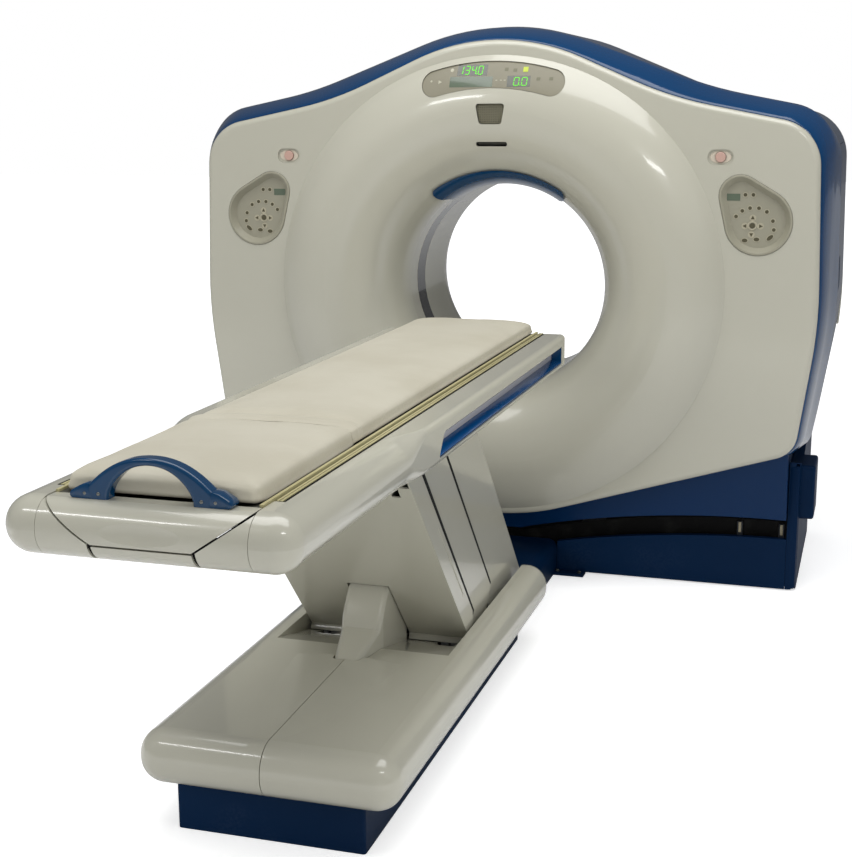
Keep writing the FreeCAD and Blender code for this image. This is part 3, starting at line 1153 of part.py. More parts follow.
def make_side_rail():
    """Right rail: ball corner and rounded bulge at the foot end, thinning out to a slim rail with a long recess."""
    bulge = foot_body()
    bulge = bulge.common(box((SEAM_X + 0.5, OUT), (-OUT, BLEND_Y[0]), (0, OUT)))
    blend = Part.makeLoft([rail_section(y, share) for y, share in zip(BLEND_Y, BLEND_SHARE)], True, False)
    slim = Part.Face(rail_section(BLEND_Y[-1], 0)).extrude(vec(0, HEAD_Y - BLEND_Y[-1], 0))
    ends = [e for e in slim.Edges if e.BoundBox.ZLength > 40 and e.BoundBox.YMin > HEAD_Y - 1
            and e.BoundBox.XMin > TABLE_HALF - 1]
    slim = slim.makeFillet(10, ends)
    lip = box((LIP_INNER, RAIL_INNER), (FOOT_Y + 125, HEAD_Y), (TOP_Z - 13, TOP_Z - 2))
    back = box((LIP_INNER - 10, RAIL_INNER), (FOOT_Y + 122, HEAD_Y + 10), (0, OUT))
    bulge = bulge.cut(back)
    hollow = box((RAIL_INNER + 6, TABLE_HALF - 20), (FOOT_Y + 70, BLEND_Y[0] - 15), (NOSE_LOW_Z - 5, TOP_Z - 30))
    bulge = bulge.cut(hollow)
    rail = join([bulge, blend, slim, lip])
    return rail.cut(recess_block(0, RECESS_DEEP)).removeSplitter()


def recess_block(gap, depth):
    """Long recess in the rail's outer side: slanted near end, rounded corners."""
    corners = [(RECESS_Y[0] + gap, RECESS_Z[0] + gap, 6), (RECESS_Y[1] - gap, RECESS_Z[0] + gap, 6),
               (RECESS_Y[1] - gap, RECESS_Z[1] - gap, 6), (RECESS_Y[0] + 46 + gap, RECESS_Z[1] - gap, 30)]
    return along_x(corners, TABLE_HALF - depth, TABLE_HALF + 30)


def make_rail_inlay():
    """Blue liner of the recess, right side."""
    outer = recess_block(0, RECESS_DEEP).common(box((0, TABLE_HALF - 2), (-OUT, 0), (0, OUT)))
    return outer.cut(recess_block(INLAY_WALL, RECESS_DEEP - INLAY_WALL))


def make_foot_cover():
    """Right part of the foot end beside the trough."""
    wedge = along_y([(TROUGH_HALF, NOSE_LOW_Z - 5, 0), (SEAM_X - 0.5, NOSE_LOW_Z - 5, 0), (SEAM_X - 0.5, 914, 0),
                     (TROUGH_HALF, 844, 0)], FOOT_Y - 5, FOOT_Y + 118)
    cover = foot_body().common(wedge)
    way = along_y([(x, z, 0) for x, z, r in inset(cradle_outline(), -4)], CAP_BACK_Y - 2, FOOT_Y + 120)
    return cover.cut(way)


def make_foot_strip():
    """Centre strip under the cradle's end."""
    half = CRADLE_FLAT
    strip = foot_body().common(box((-half, half), (FOOT_Y - 5, FOOT_Y + 118), (NOSE_LOW_Z - 5, CRADLE_LOW_Z - 4)))
    return strip


def cradle_outline():
    """Section of the cradle before its dish: flat bottom, sloping sides, upright rims."""
    half = [(0, CRADLE_LOW_Z, 0), (CRADLE_FLAT, CRADLE_LOW_Z, 20), (CRADLE_HALF - 12, TOP_Z - 9, 0), (CRADLE_HALF, TOP_Z - 9, 0),
            (CRADLE_HALF, CRADLE_TOP_Z, 0), (0, CRADLE_TOP_Z, 0)]
    return whole(half)


def make_cradle():
    base = along_y(cradle_outline(), CAP_BACK_Y, HEAD_Y - 3)
    dish_r = ((PAD_HALF) ** 2 + CRADLE_DISH ** 2) / (2 * CRADLE_DISH)
    dish = rod_y(0, CRADLE_TOP_Z - CRADLE_DISH + dish_r, dish_r, CAP_BACK_Y - 1, HEAD_Y + 5)
    cradle = base.cut(dish)
    for side in (1, -1):
        x = side * (CRADLE_HALF - STRIP_W / 2)
        cradle = cradle.cut(box((x - STRIP_W / 2, x + STRIP_W / 2), (CAP_BACK_Y - 1, HEAD_Y + 5),
                                (CRADLE_TOP_Z - 4, CRADLE_TOP_Z + 10)))
    return cradle


def make_edge_strips():
    strip = box((CRADLE_HALF - STRIP_W, CRADLE_HALF), (CAP_BACK_Y, HEAD_Y - 3),
                (CRADLE_TOP_Z - 4, CRADLE_TOP_Z - 4 + STRIP_H))
    return both(strip)


def make_end_cap():
    """End of the cradle: continues the rounded foot end, with a shallow concave dish."""
    block = along_y([(-CRADLE_FLAT, CRADLE_LOW_Z, 6), (CRADLE_FLAT, CRADLE_LOW_Z, 6), (CRADLE_HALF - 1, TOP_Z - 1, 0),
                     (-CRADLE_HALF + 1, TOP_Z - 1, 0)], FOOT_Y - 5, CAP_BACK_Y - CAP_SEAM)
    cap = foot_body().common(block)
    scoop = Part.makeSphere(420, vec(0, 0, 0))
    matrix = FreeCAD.Matrix()
    matrix.scale(1.0, 1.0, 0.35)
    scoop = scoop.transformGeometry(matrix)
    scoop.translate(vec(0, FOOT_Y - 420 + 9, 876))
    return cap.cut(scoop)


def handle_line(points, z_low):
    """Smooth symmetric line of the handle, carried straight down into the end cap at both ends."""
    foot_z = TOP_Z - 1
    right = [vec(x, 0, foot_z + z) for x, z in points]
    left = [vec(-p.x, 0, p.z) for p in reversed(right[1:])]
    curve = Part.BSplineCurve()
    curve.interpolate(left + right)
    ends = [vec(left[0].x, 0, z_low), vec(right[-1].x, 0, z_low)]
    return [line(ends[0], left[0]), curve.toShape(), line(right[-1], ends[1])], ends


def make_handle(cap):
    """Arched pull handle with spread feet on the end cap, its edges well rounded."""
    foot_z = TOP_Z - 1
    z_low = foot_z - 24
    outer, outer_ends = handle_line(HANDLE_OUTER, z_low)
    inner, inner_ends = handle_line(HANDLE_INNER, z_low)
    edges = outer + inner + [line(outer_ends[0], inner_ends[0]), line(inner_ends[1], outer_ends[1])]
    face = Part.Face(Part.Wire(Part.sortEdges(edges)[0]))
    face.translate(vec(0, HANDLE_Y - HANDLE_W / 2, 0))
    handle = face.extrude(vec(0, HANDLE_W, 0))
    rims = [e for e in handle.Edges if e.BoundBox.YLength < 0.01 and e.BoundBox.ZMax > foot_z]
    handle = handle.makeFillet(HANDLE_ROUND, rims)
    handle = handle.cut(cap)
    handle = handle.cut(box((-OUT, OUT), (CAP_BACK_Y - CAP_SEAM, 0), (0, foot_z + 1)))
    return sorted(handle.Solids, key=lambda solid: solid.Volume)[-1]


def pad_block(y_from, y_to):
    """Cushion with a crowned top, drawn in sides and rounded ends, on the dished cradle."""
    foot = CRADLE_TOP_Z + 0.2
    top = foot + PAD_THICK
    side_sag = 5.0

    def section(y, shrink, lift):
        half = PAD_HALF - shrink
        low = foot + lift * 0.3
        high = top - lift
        a = vec(-half + 4, y, low)
        b = vec(half - 4, y, low)
        c = vec(half - 4, y, high - PAD_CROWN)
        d = vec(-half + 4, y, high - PAD_CROWN)
        return Part.Wire([line(a, b), Part.Arc(b, vec(half, y, (low + high - side_sag) / 2), c).toShape(),
                          Part.Arc(c, vec(0, y, high), d).toShape(),
                          Part.Arc(d, vec(-half, y, (low + high - side_sag) / 2), a).toShape()])

    stations = [(y_from, 7, 9), (y_from + 14, 1, 1.5), (y_from + 60, 0, 0), (y_to - 60, 0, 0),
                (y_to - 14, 1, 1.5), (y_to, 7, 9)]
    return Part.makeLoft([section(*s) for s in stations], True, True)


# ---------------------------------------------------------------- write the sub-parts
save("front_cover", make_front_cover())
save("display_panel", bulge_panel(display_block(PANEL_GAP, FACE_Y - 120, FACE_Y + 60), PANEL_SINK))
save("speaker_panel", bulge_panel(speaker_block(PANEL_GAP, FACE_Y - 120, FACE_Y + 60), SPEAKER_SINK))
save("laser_window", bulge_panel(laser_block(PANEL_GAP, FACE_Y - 120, FACE_Y + 60), LASER_SINK))
save("bore_top_pad", make_bore_pad())
control_panel = make_control_panel()
save("control_panel_right", control_panel)
save("control_panel_left", mirrored(control_panel))
stop_button = make_stop_button()
save("stop_button_right", stop_button)
save("stop_button_left", mirrored(stop_button))
save("trim_band", make_trim_band())
save("top_cover", make_top_cover())
side_cover = make_side_cover()
save("side_cover_right", side_cover)
save("side_cover_left", mirrored(side_cover))
save("rear_cover", make_rear_cover())
save("lower_front_cover", make_lower_front_cover())
save("scan_window", make_scan_window())
save("stator_frame", make_stator_frame())
save("main_bearing", ring_y(BEARING_R_IN, BEARING_R_OUT, *STATOR_Y))
save("rotor_drum", make_rotor_drum())
save("xray_tube", make_xray_tube())
save("collimator", make_collimator())
save("detector_array", make_detector())
save("high_voltage_unit", make_generator())

save("gantry_base_frame", make_base_frame())
save("base_front_skirt", make_front_skirt())
save("slot_shield", make_slot_shield())
save("base_rear_skirt", make_rear_skirt())
base_side = make_base_side_cover()
save("base_side_cover_right", base_side)
save("base_side_cover_left", mirrored(base_side))
tower = make_tower()
save("tilt_tower_right", tower)
save("tilt_tower_left", mirrored(tower))
save("levelling_pads", make_levelling_pads())
save("docking_cover", make_docking_cover())

base_cover = make_base_cover()
save("table_base_cover_right", base_cover)
save("table_base_cover_left", mirrored(base_cover))
save("knee_cover", make_knee_cover())
save("table_plinth", make_plinth())
save("table_base_frame", make_table_base_frame())
save("lower_pivot_pins", make_lower_pins())
save("lift_drive", make_lift_drive())
save("front_leg", make_front_leg())
save("rear_leg", make_rear_leg())
save("near_leg_cover", make_near_cover())
save("mid_leg_cover", make_mid_cover())
save("far_leg_cover", make_far_cover())

save("table_frame", make_table_frame())
save("upper_pivot_pins", make_upper_pins())
side_rail = make_side_rail()
save("side_rail_right", side_rail)
save("side_rail_left", mirrored(side_rail))
rail_inlay = make_rail_inlay()
save("rail_inlay_right", rail_inlay)
save("rail_inlay_left", mirrored(rail_inlay))
foot_cover = make_foot_cover()
save("foot_cover_right", foot_cover)
save("foot_cover_left", mirrored(foot_cover))
save("foot_centre_strip", make_foot_strip())
save("cradle", make_cradle())
save("cradle_edge_strips", make_edge_strips())
end_cap = make_end_cap()
save("cradle_end_cap", end_cap)
save("cradle_handle", make_handle(end_cap))
save("pad_main", pad_block(PAD_SPLIT_Y + 1, HEAD_Y - 4))
save("pad_foot", pad_block(PAD_NEAR_Y, PAD_SPLIT_Y - 1))
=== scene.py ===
import json
import logging
import math
from dataclasses import dataclass, field
from enum import Enum
from functools import cached_property
from typing import Any, Callable, Optional, Sequence

import bmesh
import bpy
from mathutils import Matrix, Vector
from mathutils.bvhtree import BVHTree

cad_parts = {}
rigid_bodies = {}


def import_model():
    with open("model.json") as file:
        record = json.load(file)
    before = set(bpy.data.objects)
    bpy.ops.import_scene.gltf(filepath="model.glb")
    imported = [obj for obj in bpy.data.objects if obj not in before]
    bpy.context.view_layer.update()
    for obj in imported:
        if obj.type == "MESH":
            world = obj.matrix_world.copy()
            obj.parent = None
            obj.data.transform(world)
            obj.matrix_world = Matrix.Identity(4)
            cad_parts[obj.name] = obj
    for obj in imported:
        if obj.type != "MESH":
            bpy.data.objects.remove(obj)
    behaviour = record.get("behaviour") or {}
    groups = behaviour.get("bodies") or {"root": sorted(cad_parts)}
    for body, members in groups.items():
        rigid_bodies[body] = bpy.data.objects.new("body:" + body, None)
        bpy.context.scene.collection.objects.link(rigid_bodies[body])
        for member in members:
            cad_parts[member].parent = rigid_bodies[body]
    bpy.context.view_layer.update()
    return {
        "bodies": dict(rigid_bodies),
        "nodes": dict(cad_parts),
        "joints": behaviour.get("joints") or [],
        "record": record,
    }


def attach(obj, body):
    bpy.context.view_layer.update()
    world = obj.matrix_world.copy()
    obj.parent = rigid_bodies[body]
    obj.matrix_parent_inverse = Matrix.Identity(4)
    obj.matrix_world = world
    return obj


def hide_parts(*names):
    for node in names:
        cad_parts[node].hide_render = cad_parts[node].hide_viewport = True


# A CT scanner in metres: +X to the right seen from the foot of the table, +Y into the gantry, +Z up.
# The origin is on the floor, straight under the point where the bore axis meets the scan plane.

LOG = logging.getLogger("ct_scanner")
SCAN_HEIGHT = 1.025
LEG_LEAN, LEG_PIVOT_Z = math.radians(43.0), 0.180
SHARP_ANGLE = math.radians(38)
UPRIGHT = Matrix.Rotation(math.pi / 2, 4, "X")
WHITE = (1, 1, 1, 1)

Object = bpy.types.Object
Shape = bmesh.types.BMesh
Front = Callable[[float, float], float]
Flat = tuple[float, float]
Place = tuple[float, float, float]


class Body(Enum):
    """The moving bodies that new pieces ride on."""

    BASE = "base"
    GANTRY = "gantry"
    FRONT_LINK = "front_link"
    MIDDLE_LINK = "middle_link"
    TABLE = "table"
    CRADLE = "cradle"


class Side(Enum):
    """The two sides of the scanner, seen from the foot of the table."""

    LEFT = -1
    RIGHT = 1

    def named(self, name: str) -> str:
        """The name of a piece on this side."""
        return name + "_" + self.name.lower()

    def at(self, place: Sequence[float]) -> tuple[float, ...]:
        """A place on this side, its X given for the right side."""
        return self.value * place[0], *place[1:]


def linear(code: str) -> tuple[float, float, float, float]:
    """Turns a colour as it is seen on a screen into the linear colour a shader wants.

    Args:
        code: six hexadecimal digits, red first.

    Returns:
        Red, green, blue and a full alpha.
    """
    parts = [int(code[i:i + 2], 16) / 255 for i in (0, 2, 4)]
    red, green, blue = (c / 12.92 if c <= 0.04045 else ((c + 0.055) / 1.055) ** 2.4 for c in parts)
    return red, green, blue, 1.0


# ---- shader maths


def operator(operation: str, swapped: bool = False) -> Callable[["Term", Any], "Term"]:
    """A sign between a Term and a number or Term, as one Math node."""
    def apply(this: "Term", other: Any) -> "Term":
        """Adds the node."""
        return this.shader.maths(operation, *((other, this) if swapped else (this, other)))
    return apply


class Term:
    """A number that changes over a surface, held as a node's output."""

    def __init__(self, shader: "Shader", socket: bpy.types.NodeSocket) -> None:
        """Keeps the output and the shader it belongs to."""
        self.shader = shader
        self.socket = socket

    __add__ = operator("ADD")
    __sub__ = operator("SUBTRACT")
    __rsub__ = operator("SUBTRACT", swapped=True)
    __mul__ = operator("MULTIPLY")
    __truediv__ = operator("DIVIDE")
    __pow__ = operator("POWER")

    def absolute(self) -> "Term":
        """This without its sign."""
        return self.shader.maths("ABSOLUTE", self)

    def step(self, low: float, high: float) -> "Term":
        """A soft step of this, 0 below low and 1 above high.

        Args:
            low: where the step starts.
            high: where it is done. Below low, the step falls.

        Returns:
            The stepped number, from 0 to 1.
        """
        if low > high:
            return 1 - self.step(high, low)
        return self.shader.output("ShaderNodeMapRange", {"interpolation_type": "SMOOTHSTEP"},
                                  {"Value": self, "From Min": low, "From Max": high}, "Result")


class Shader:
    """The nodes of one material or world."""

    def __init__(self, owner: Any) -> None:
        """Starts with the empty node tree of a material or world."""
        owner.use_nodes = True
        self.tree = owner.node_tree
        self.tree.nodes.clear()

    @cached_property
    def place(self) -> Term:
        """The place on the object."""
        return self.output("ShaderNodeTexCoord", {}, {}, "Object")

    def node(self, kind: str, settings: dict[str, Any], values: dict[Any, Any]) -> bpy.types.Node:
        """Adds any node.

        Args:
            kind: the node's type.
            settings: its own settings, set first.
            values: what goes into its sockets, a value or a Term, by name, identifier or number.

        Returns:
            The node.
        """
        made = self.tree.nodes.new(kind)
        for key, value in settings.items():
            setattr(made, key, value)
        for key, value in values.items():
            socket = self.find(made.inputs, key)
            if isinstance(value, Term):
                self.tree.links.new(value.socket, socket)
            else:
                socket.default_value = value
        return made

    @staticmethod
    def find(sockets: Any, key: Any) -> bpy.types.NodeSocket:
        """Finds an input or output by number, by identifier, or else by name."""
        if isinstance(key, int):
            return sockets[key]
        for socket in sockets:
            if socket.identifier == key:
                return socket
        return sockets[key]

    def output(self, kind: str, settings: dict[str, Any], values: dict[Any, Any], name: Any) -> Term:
        """Adds a node and gives one of its outputs as a Term."""
        return Term(self, self.find(self.node(kind, settings, values).outputs, name))

    def maths(self, operation: str, *numbers: Any) -> Term:
        """One Math node on one to three numbers or Terms."""
        return self.output("ShaderNodeMath", {"operation": operation}, dict(enumerate(numbers)), 0)

    def axis(self, letter: str) -> Term:
        """The X, Y or Z of the place on the object, in metres."""
        return self.output("ShaderNodeSeparateXYZ", {}, {0: self.place}, letter)

    def stretched(self, scale: Place) -> Term:
        """The place on the object, scaled by axis."""
        return self.output("ShaderNodeMapping", {}, {"Vector": self.place, "Scale": scale}, 0)

    def noise(self, scale: float, detail: float = 3.0, rough: float = 0.5,
              place: Optional[Term] = None) -> Term:
        """Soft noise from 0 to 1: cycles a metre, octaves, their strength, and where it is read."""
        return self.output("ShaderNodeTexNoise", {}, {"Vector": place or self.place, "Scale": scale,
                                                      "Detail": detail, "Roughness": rough}, "Fac")

    def cells(self, scale: float) -> Term:
        """Distance in a pattern of cells, scale cells a metre."""
        return self.output("ShaderNodeTexVoronoi", {}, {"Vector": self.place, "Scale": scale}, "Distance")

    def mix(self, mask: Any, first: Any, second: Any) -> Term:
        """A colour that goes from first to second as mask goes from 0 to 1."""
        return self.output("ShaderNodeMix", {"data_type": "RGBA"},
                           {"Factor_Float": mask, "A_Color": first, "B_Color": second}, "Result_Color")

    def bump(self, height: Term, distance: float, strength: float = 1.0,
             under: Optional[Term] = None) -> Term:
        """Turns a height into a normal.

        Args:
            height: the height, from 0 to 1.
            distance: how far 1 stands out, in metres.
            strength: how much of the bump shows.
            under: a normal that it is laid over.

        Returns:
            The normal.
        """
        values = {"Height": height, "Distance": distance, "Strength": strength}
        if under is not None:
            values["Normal"] = under
        return self.output("ShaderNodeBump", {}, values, "Normal")


# ---- finishes


@dataclass(frozen=True)
class Finish:
    """A named look. Each kind of finish says what goes into one principled surface."""

    name: str
    colour: str

    def look(self, shader: Shader) -> dict[str, Any]:
        """The principled surface's inputs, a value or a Term each."""
        raise NotImplementedError

    def build(self) -> bpy.types.Material:
        """Builds the node material."""
        material = bpy.data.materials.new(self.name)
        shader = Shader(material)
        surface = shader.output("ShaderNodeBsdfPrincipled", {}, self.look(shader), "BSDF")
        shader.node("ShaderNodeOutputMaterial", {}, {"Surface": surface})
        return material


@dataclass(frozen=True)
class Moulded(Finish):
    """A moulded cover with a sprayed coat, a little uneven in gloss and scuffed low down."""

    drift: str
    roughness: float = 0.3
    coat: float = 0.35
    shine: float = 0.5
    scuff: str = "8d8a7d"
    scuffed: float = 0.25

    SCUFF_TOP = 0.3

    def look(self, shader: Shader) -> dict[str, Any]:
        """A slow drift in colour and gloss, with rubbed specks near the floor."""
        slow = shader.noise(0.9, 1.0)
        smear = shader.noise(5.0)
        fine = shader.noise(140.0, 3.0, 0.6)
        colour = shader.mix(slow.step(0.3, 0.75), linear(self.colour), linear(self.drift))
        low = shader.axis("Z").step(self.SCUFF_TOP, 0.0)
        rub = (low * smear.step(0.5, 0.72) * fine.step(0.4, 0.6)) * self.scuffed
        rough = slow * 0.06 + rub * 0.3 + (self.roughness - 0.03)
        return {"Base Color": shader.mix(rub, colour, linear(self.scuff)), "Roughness": rough,
                "Specular IOR Level": self.shine, "Coat Weight": self.coat, "Coat Roughness": 0.06}


@dataclass(frozen=True)
class Perforated(Finish):
    """A moulded panel with small round sound holes in rows."""

    # The holes' colour, darker than the panel: painted shade inside the holes.
    hole: str
    pitch: float = 0.0075
    radius: float = 0.0019
    depth: float = 0.0012

    def look(self, shader: Shader) -> dict[str, Any]:
        """Round holes on a square grid, coloured darker as painted shade inside them, with dust between them.
        """
        across, up = (shader.axis(letter) / self.pitch for letter in "XZ")
        across, up = (shader.maths("FRACT", place) - 0.5 for place in (across, up))
        reach = (across * across + up * up) ** 0.5
        edge = self.radius / self.pitch
        hole = reach.step(edge * 1.15, edge * 0.75)
        dust = shader.noise(30.0, 4.0, 0.6)
        return {"Base Color": shader.mix(hole, linear(self.colour), linear(self.hole)),
                "Roughness": dust * 0.2 + 0.45, "Specular IOR Level": 0.3,
                "Normal": shader.bump(1 - hole, self.depth, 0.8)}


@dataclass(frozen=True)
class Vinyl(Finish):
    """Coated upholstery cloth with a fine leather grain, rubbed smoother where people lie."""

    shade: str

    WORN_HALF = 0.2
    PEBBLE_DEPTH = 0.0004
    CREASE_DEPTH = 0.0022

    def look(self, shader: Shader) -> dict[str, Any]:
        """Blotches, a pebbled grain and long creases across the table."""
        blotch = shader.noise(4.5, 4.0, 0.55)
        pebble = shader.cells(620.0)
        crease = shader.noise(38.0, 4.0, 0.6, shader.stretched((0.35, 1.6, 1.0)))
        middle = shader.axis("X").absolute().step(self.WORN_HALF, 0.06)
        colour = shader.mix(blotch.step(0.3, 0.75) * 0.75, linear(self.colour), linear(self.shade))
        # The dimples of the pebbled grain are coloured darker.
        dimple_dark = (1 - pebble.step(0.05, 0.45)) * 0.25
        grain = shader.bump(pebble, self.PEBBLE_DEPTH, 0.45)
        return {"Base Color": shader.mix(dimple_dark, colour, linear(self.shade)),
                "Roughness": 0.62 - middle * 0.08 + blotch * 0.08,
                "Sheen Weight": 0.12, "Sheen Roughness": 0.5,
                "Normal": shader.bump(crease, self.CREASE_DEPTH, 0.35, grain)}


@dataclass(frozen=True)
class Metal(Finish):
    """Bare or painted metal: rolled, turned, ground or cast."""

    drift: str
    roughness: float = 0.35
    metallic: float = 1.0
    streak: Place = (1.0, 1.0, 1.0)

    GRIT = 0.0002

    def look(self, shader: Shader) -> dict[str, Any]:
        """Streaks along the tool's way over slow stains."""
        streaks = shader.noise(90.0, 5.0, 0.65, shader.stretched(self.streak))
        stain = shader.noise(5.0, 4.0, 0.6)
        return {"Base Color": shader.mix(stain.step(0.35, 0.75), linear(self.colour), linear(self.drift)),
                "Metallic": self.metallic,
                "Roughness": streaks * 0.2 + stain * 0.1 + (self.roughness - 0.15),
                "Normal": shader.bump(streaks, self.GRIT, 0.5)}


@dataclass(frozen=True)
class Glazed(Finish):
    """Dark clear plastic over a display or a laser."""

    roughness: float = 0.12

    WIPED = "5a5b54"

    def look(self, shader: Shader) -> dict[str, Any]:
        """Wipe marks that lie across the pane."""
        wipe = shader.noise(24.0, 4.0, 0.6, shader.stretched((1.0, 1.0, 3.0)))
        colour = shader.mix(wipe.step(0.4, 0.8) * 0.3, linear(self.colour), linear(self.WIPED))
        return {"Base Color": colour, "Roughness": wipe * 0.16 + (self.roughness - 0.08),
                "Coat Weight": 0.6, "Coat Roughness": 0.05}


@dataclass(frozen=True)
class Rubber(Finish):
    """Matt rubber or soft black sheet."""

    BLOOM = "4c4b47"
    GRAIN = 0.0002

    def look(self, shader: Shader) -> dict[str, Any]:
        """A dull bloom over a fine grain."""
        bloom = shader.noise(16.0, 5.0, 0.6)
        colour = shader.mix(bloom.step(0.45, 0.8) * 0.15, linear(self.colour), linear(self.BLOOM))
        return {"Base Color": colour, "Roughness": bloom * 0.2 + 0.6, "Specular IOR Level": 0.15,
                "Normal": shader.bump(shader.noise(420.0, 2.0), self.GRAIN, 0.5)}


@dataclass(frozen=True)
class Lit(Finish):
    """A lamp segment behind a coloured lens."""

    glow: float

    HOT = "b8f070"

    def look(self, shader: Shader) -> dict[str, Any]:
        """A glow with brighter specks."""
        speck = shader.noise(700.0, 2.0)
        return {"Base Color": linear(self.colour), "Roughness": 0.4, "Emission Strength": self.glow,
                "Emission Color": shader.mix(speck * 0.4, linear(self.colour), linear(self.HOT))}


FINISHES = {finish.name: finish for finish in (
    Moulded("cover_cream", "bdbbac", "b7b5a6", 0.24, 0.7, 0.5, "8d8a7d", 0.04),
    # cover_violet: a dark slate where the cream side and top covers face away from the light, painted shade.
    Moulded("cover_violet", "4a5364", "424b5b", 0.36, 0.1, 0.25, "5b6470", 0.1),
    Moulded("cover_blue", "053a66", "053259", 0.13, 0.6, 0.3, "4b6b8c", 0.0),
    Moulded("cover_mid_blue", "06305c", "05284e", 0.34, 0.05, 0.15, "4b6b8c", 0.0),
    # skirt_navy: the skirt's own navy, made darker still as painted shade of its low place.
    Moulded("skirt_navy", "042445", "041d39", 0.45, 0.0, 0.08, "2c3a52", 0.2),
    Moulded("panel_grey", "9c9988", "969382", 0.42, 0.1, 0.3),
    Glazed("window_dark", "191916"),
    # black_sheet also colours the black strips and sheets that paint shade in gaps and under the covers.
    Rubber("black_sheet", "0b0b0b"),
    Moulded("blue_trim", "0a3f68", "083658", 0.15, 0.4, 0.4, "3c6a92", 0.0),
    Moulded("button_red", "c6a497", "bd9a8c", 0.35, 0.3),
    Vinyl("pad_beige", "c4bfad", "b8b29e"),
    Moulded("cradle_shell", "4e4d45", "45443d", 0.5, 0.1, 0.3),
    Moulded("strip_yellow", "c0b98e", "b3ab7e", 0.4, 0.1, 0.3),
    Metal("frame_steel", "8f9092", "7d7e80", 0.5, 0.4),
    Metal("pin_steel", "c2c3c4", "a9aaac", 0.25, 1.0, (0.05, 1.0, 1.0)),
    Metal("rotor_metal", "a9abad", "989a9d", 0.4, 0.8),
    Metal("bearing_steel", "b6b8ba", "9ea0a3", 0.22, 1.0, (1.0, 0.05, 1.0)),
    Metal("frame_iron", "303338", "282b30", 0.6, 0.3),
    Metal("unit_grey", "9a9b98", "8b8c89", 0.5, 0.1),
    Rubber("foot_rubber", "121212"),
    Perforated("speaker_holes", "75725f", "39372f"),
    Moulded("display_grey", "8a8675", "847f6f", 0.42, 0.05, 0.25, "8d8a7d", 0.0),
    Moulded("key_dark", "5a5643", "524e3c", 0.4, 0.1, 0.3),
    Moulded("key_pale", "b3ad98", "aba58f", 0.4, 0.1, 0.3),
    Glazed("glass_green", "5d6a58", 0.18),
    Glazed("glass_dark", "3f4236", 0.16),
    Moulded("sign_pale", "b9b6a2", "b3b09b", 0.4, 0.1, 0.3),
    Moulded("sign_dim", "706e58", "69674f", 0.4, 0.1, 0.3),
    Lit("digit_green", "4fc21e", 0.6),
    Lit("lamp_lime", "a9b52c", 0.3),
    Moulded("stop_oval", "cdc3b2", "c7bdac", 0.35, 0.2, 0.4),
    Moulded("pad_tan", "a39b82", "989078", 0.5, 0.05, 0.3),
    # A pale grey laid over the blue recess liner's back: painted reflection.
    Moulded("recess_grey", "b9b8bd", "b0afb6", 0.45, 0.05, 0.3, "8d8a7d", 0.0),
    Moulded("sill_blue", "0b5593", "0a4c85", 0.2, 0.3, 0.4, "4b6b8c", 0.0),
    Metal("screw_zinc", "9b9c98", "868782", 0.35, 1.0),
)}

# Nodes whose finish differs from the others of their slot. The top cover takes cover_violet's dark slate as
# painted shade.
NODE_FINISH = {"display_panel": "display_grey", "speaker_panel": "speaker_holes", "top_cover": "cover_violet"}


# ---- tools for pieces


def mesh_object(name: str, bm: Shape, smooth: bool = True) -> Object:
    """Makes an object at the origin from a finished bmesh, and frees the bmesh.

    Args:
        name: the piece's name.
        bm: its shape, already in its place.
        smooth: shade it smooth.

    Returns:
        The object.
    """
    mesh = bpy.data.meshes.new(name)
    bm.to_mesh(mesh)
    bm.free()
    if smooth:
        mesh.shade_smooth()
        mesh.set_sharp_from_angle(angle=SHARP_ANGLE)
    made = bpy.data.objects.new(name, mesh)
    bpy.context.scene.collection.objects.link(made)
    return made


def bevel(part: Shape, edges: list[bmesh.types.BMEdge], width: float) -> None:
    """Rounds edges of a shape with two faces to an edge, or leaves them sharp if width is zero."""
    if width > 0:
        bmesh.ops.bevel(part, geom=edges, offset=width, offset_type="OFFSET", segments=2,
                        profile=0.5, affect="EDGES", clamp_overlap=True, material=-1)


def tile(low: Flat, high: Flat, steps: tuple[int, int] = (1, 1)) -> Shape:
    """A flat rectangle in X and Z, cut into steps so that it can follow a curved front."""
    part = bmesh.new()
    middle = Matrix.Translation(((low[0] + high[0]) / 2, 0, (low[1] + high[1]) / 2))
    size = Matrix.Diagonal(((high[0] - low[0]) / 2, 1.0, (high[1] - low[1]) / 2, 1.0))
    bmesh.ops.create_grid(part, x_segments=steps[0], y_segments=steps[1], size=1.0,
                          matrix=middle @ size @ UPRIGHT)
    return part


def disc(place: Flat, radius: float, segments: int) -> Shape:
    """A flat disc in X and Z."""
    part = bmesh.new()
    bmesh.ops.create_circle(part, cap_ends=True, segments=segments, radius=radius,
                            matrix=Matrix.Translation((place[0], 0, place[1])) @ UPRIGHT)
    return part


def leaf(points: Sequence[Flat]) -> Shape:
    """A flat shape in X and Z inside a line of points."""
    part = bmesh.new()
    part.faces.new([part.verts.new((x, 0.0, z)) for x, z in points])
    return part


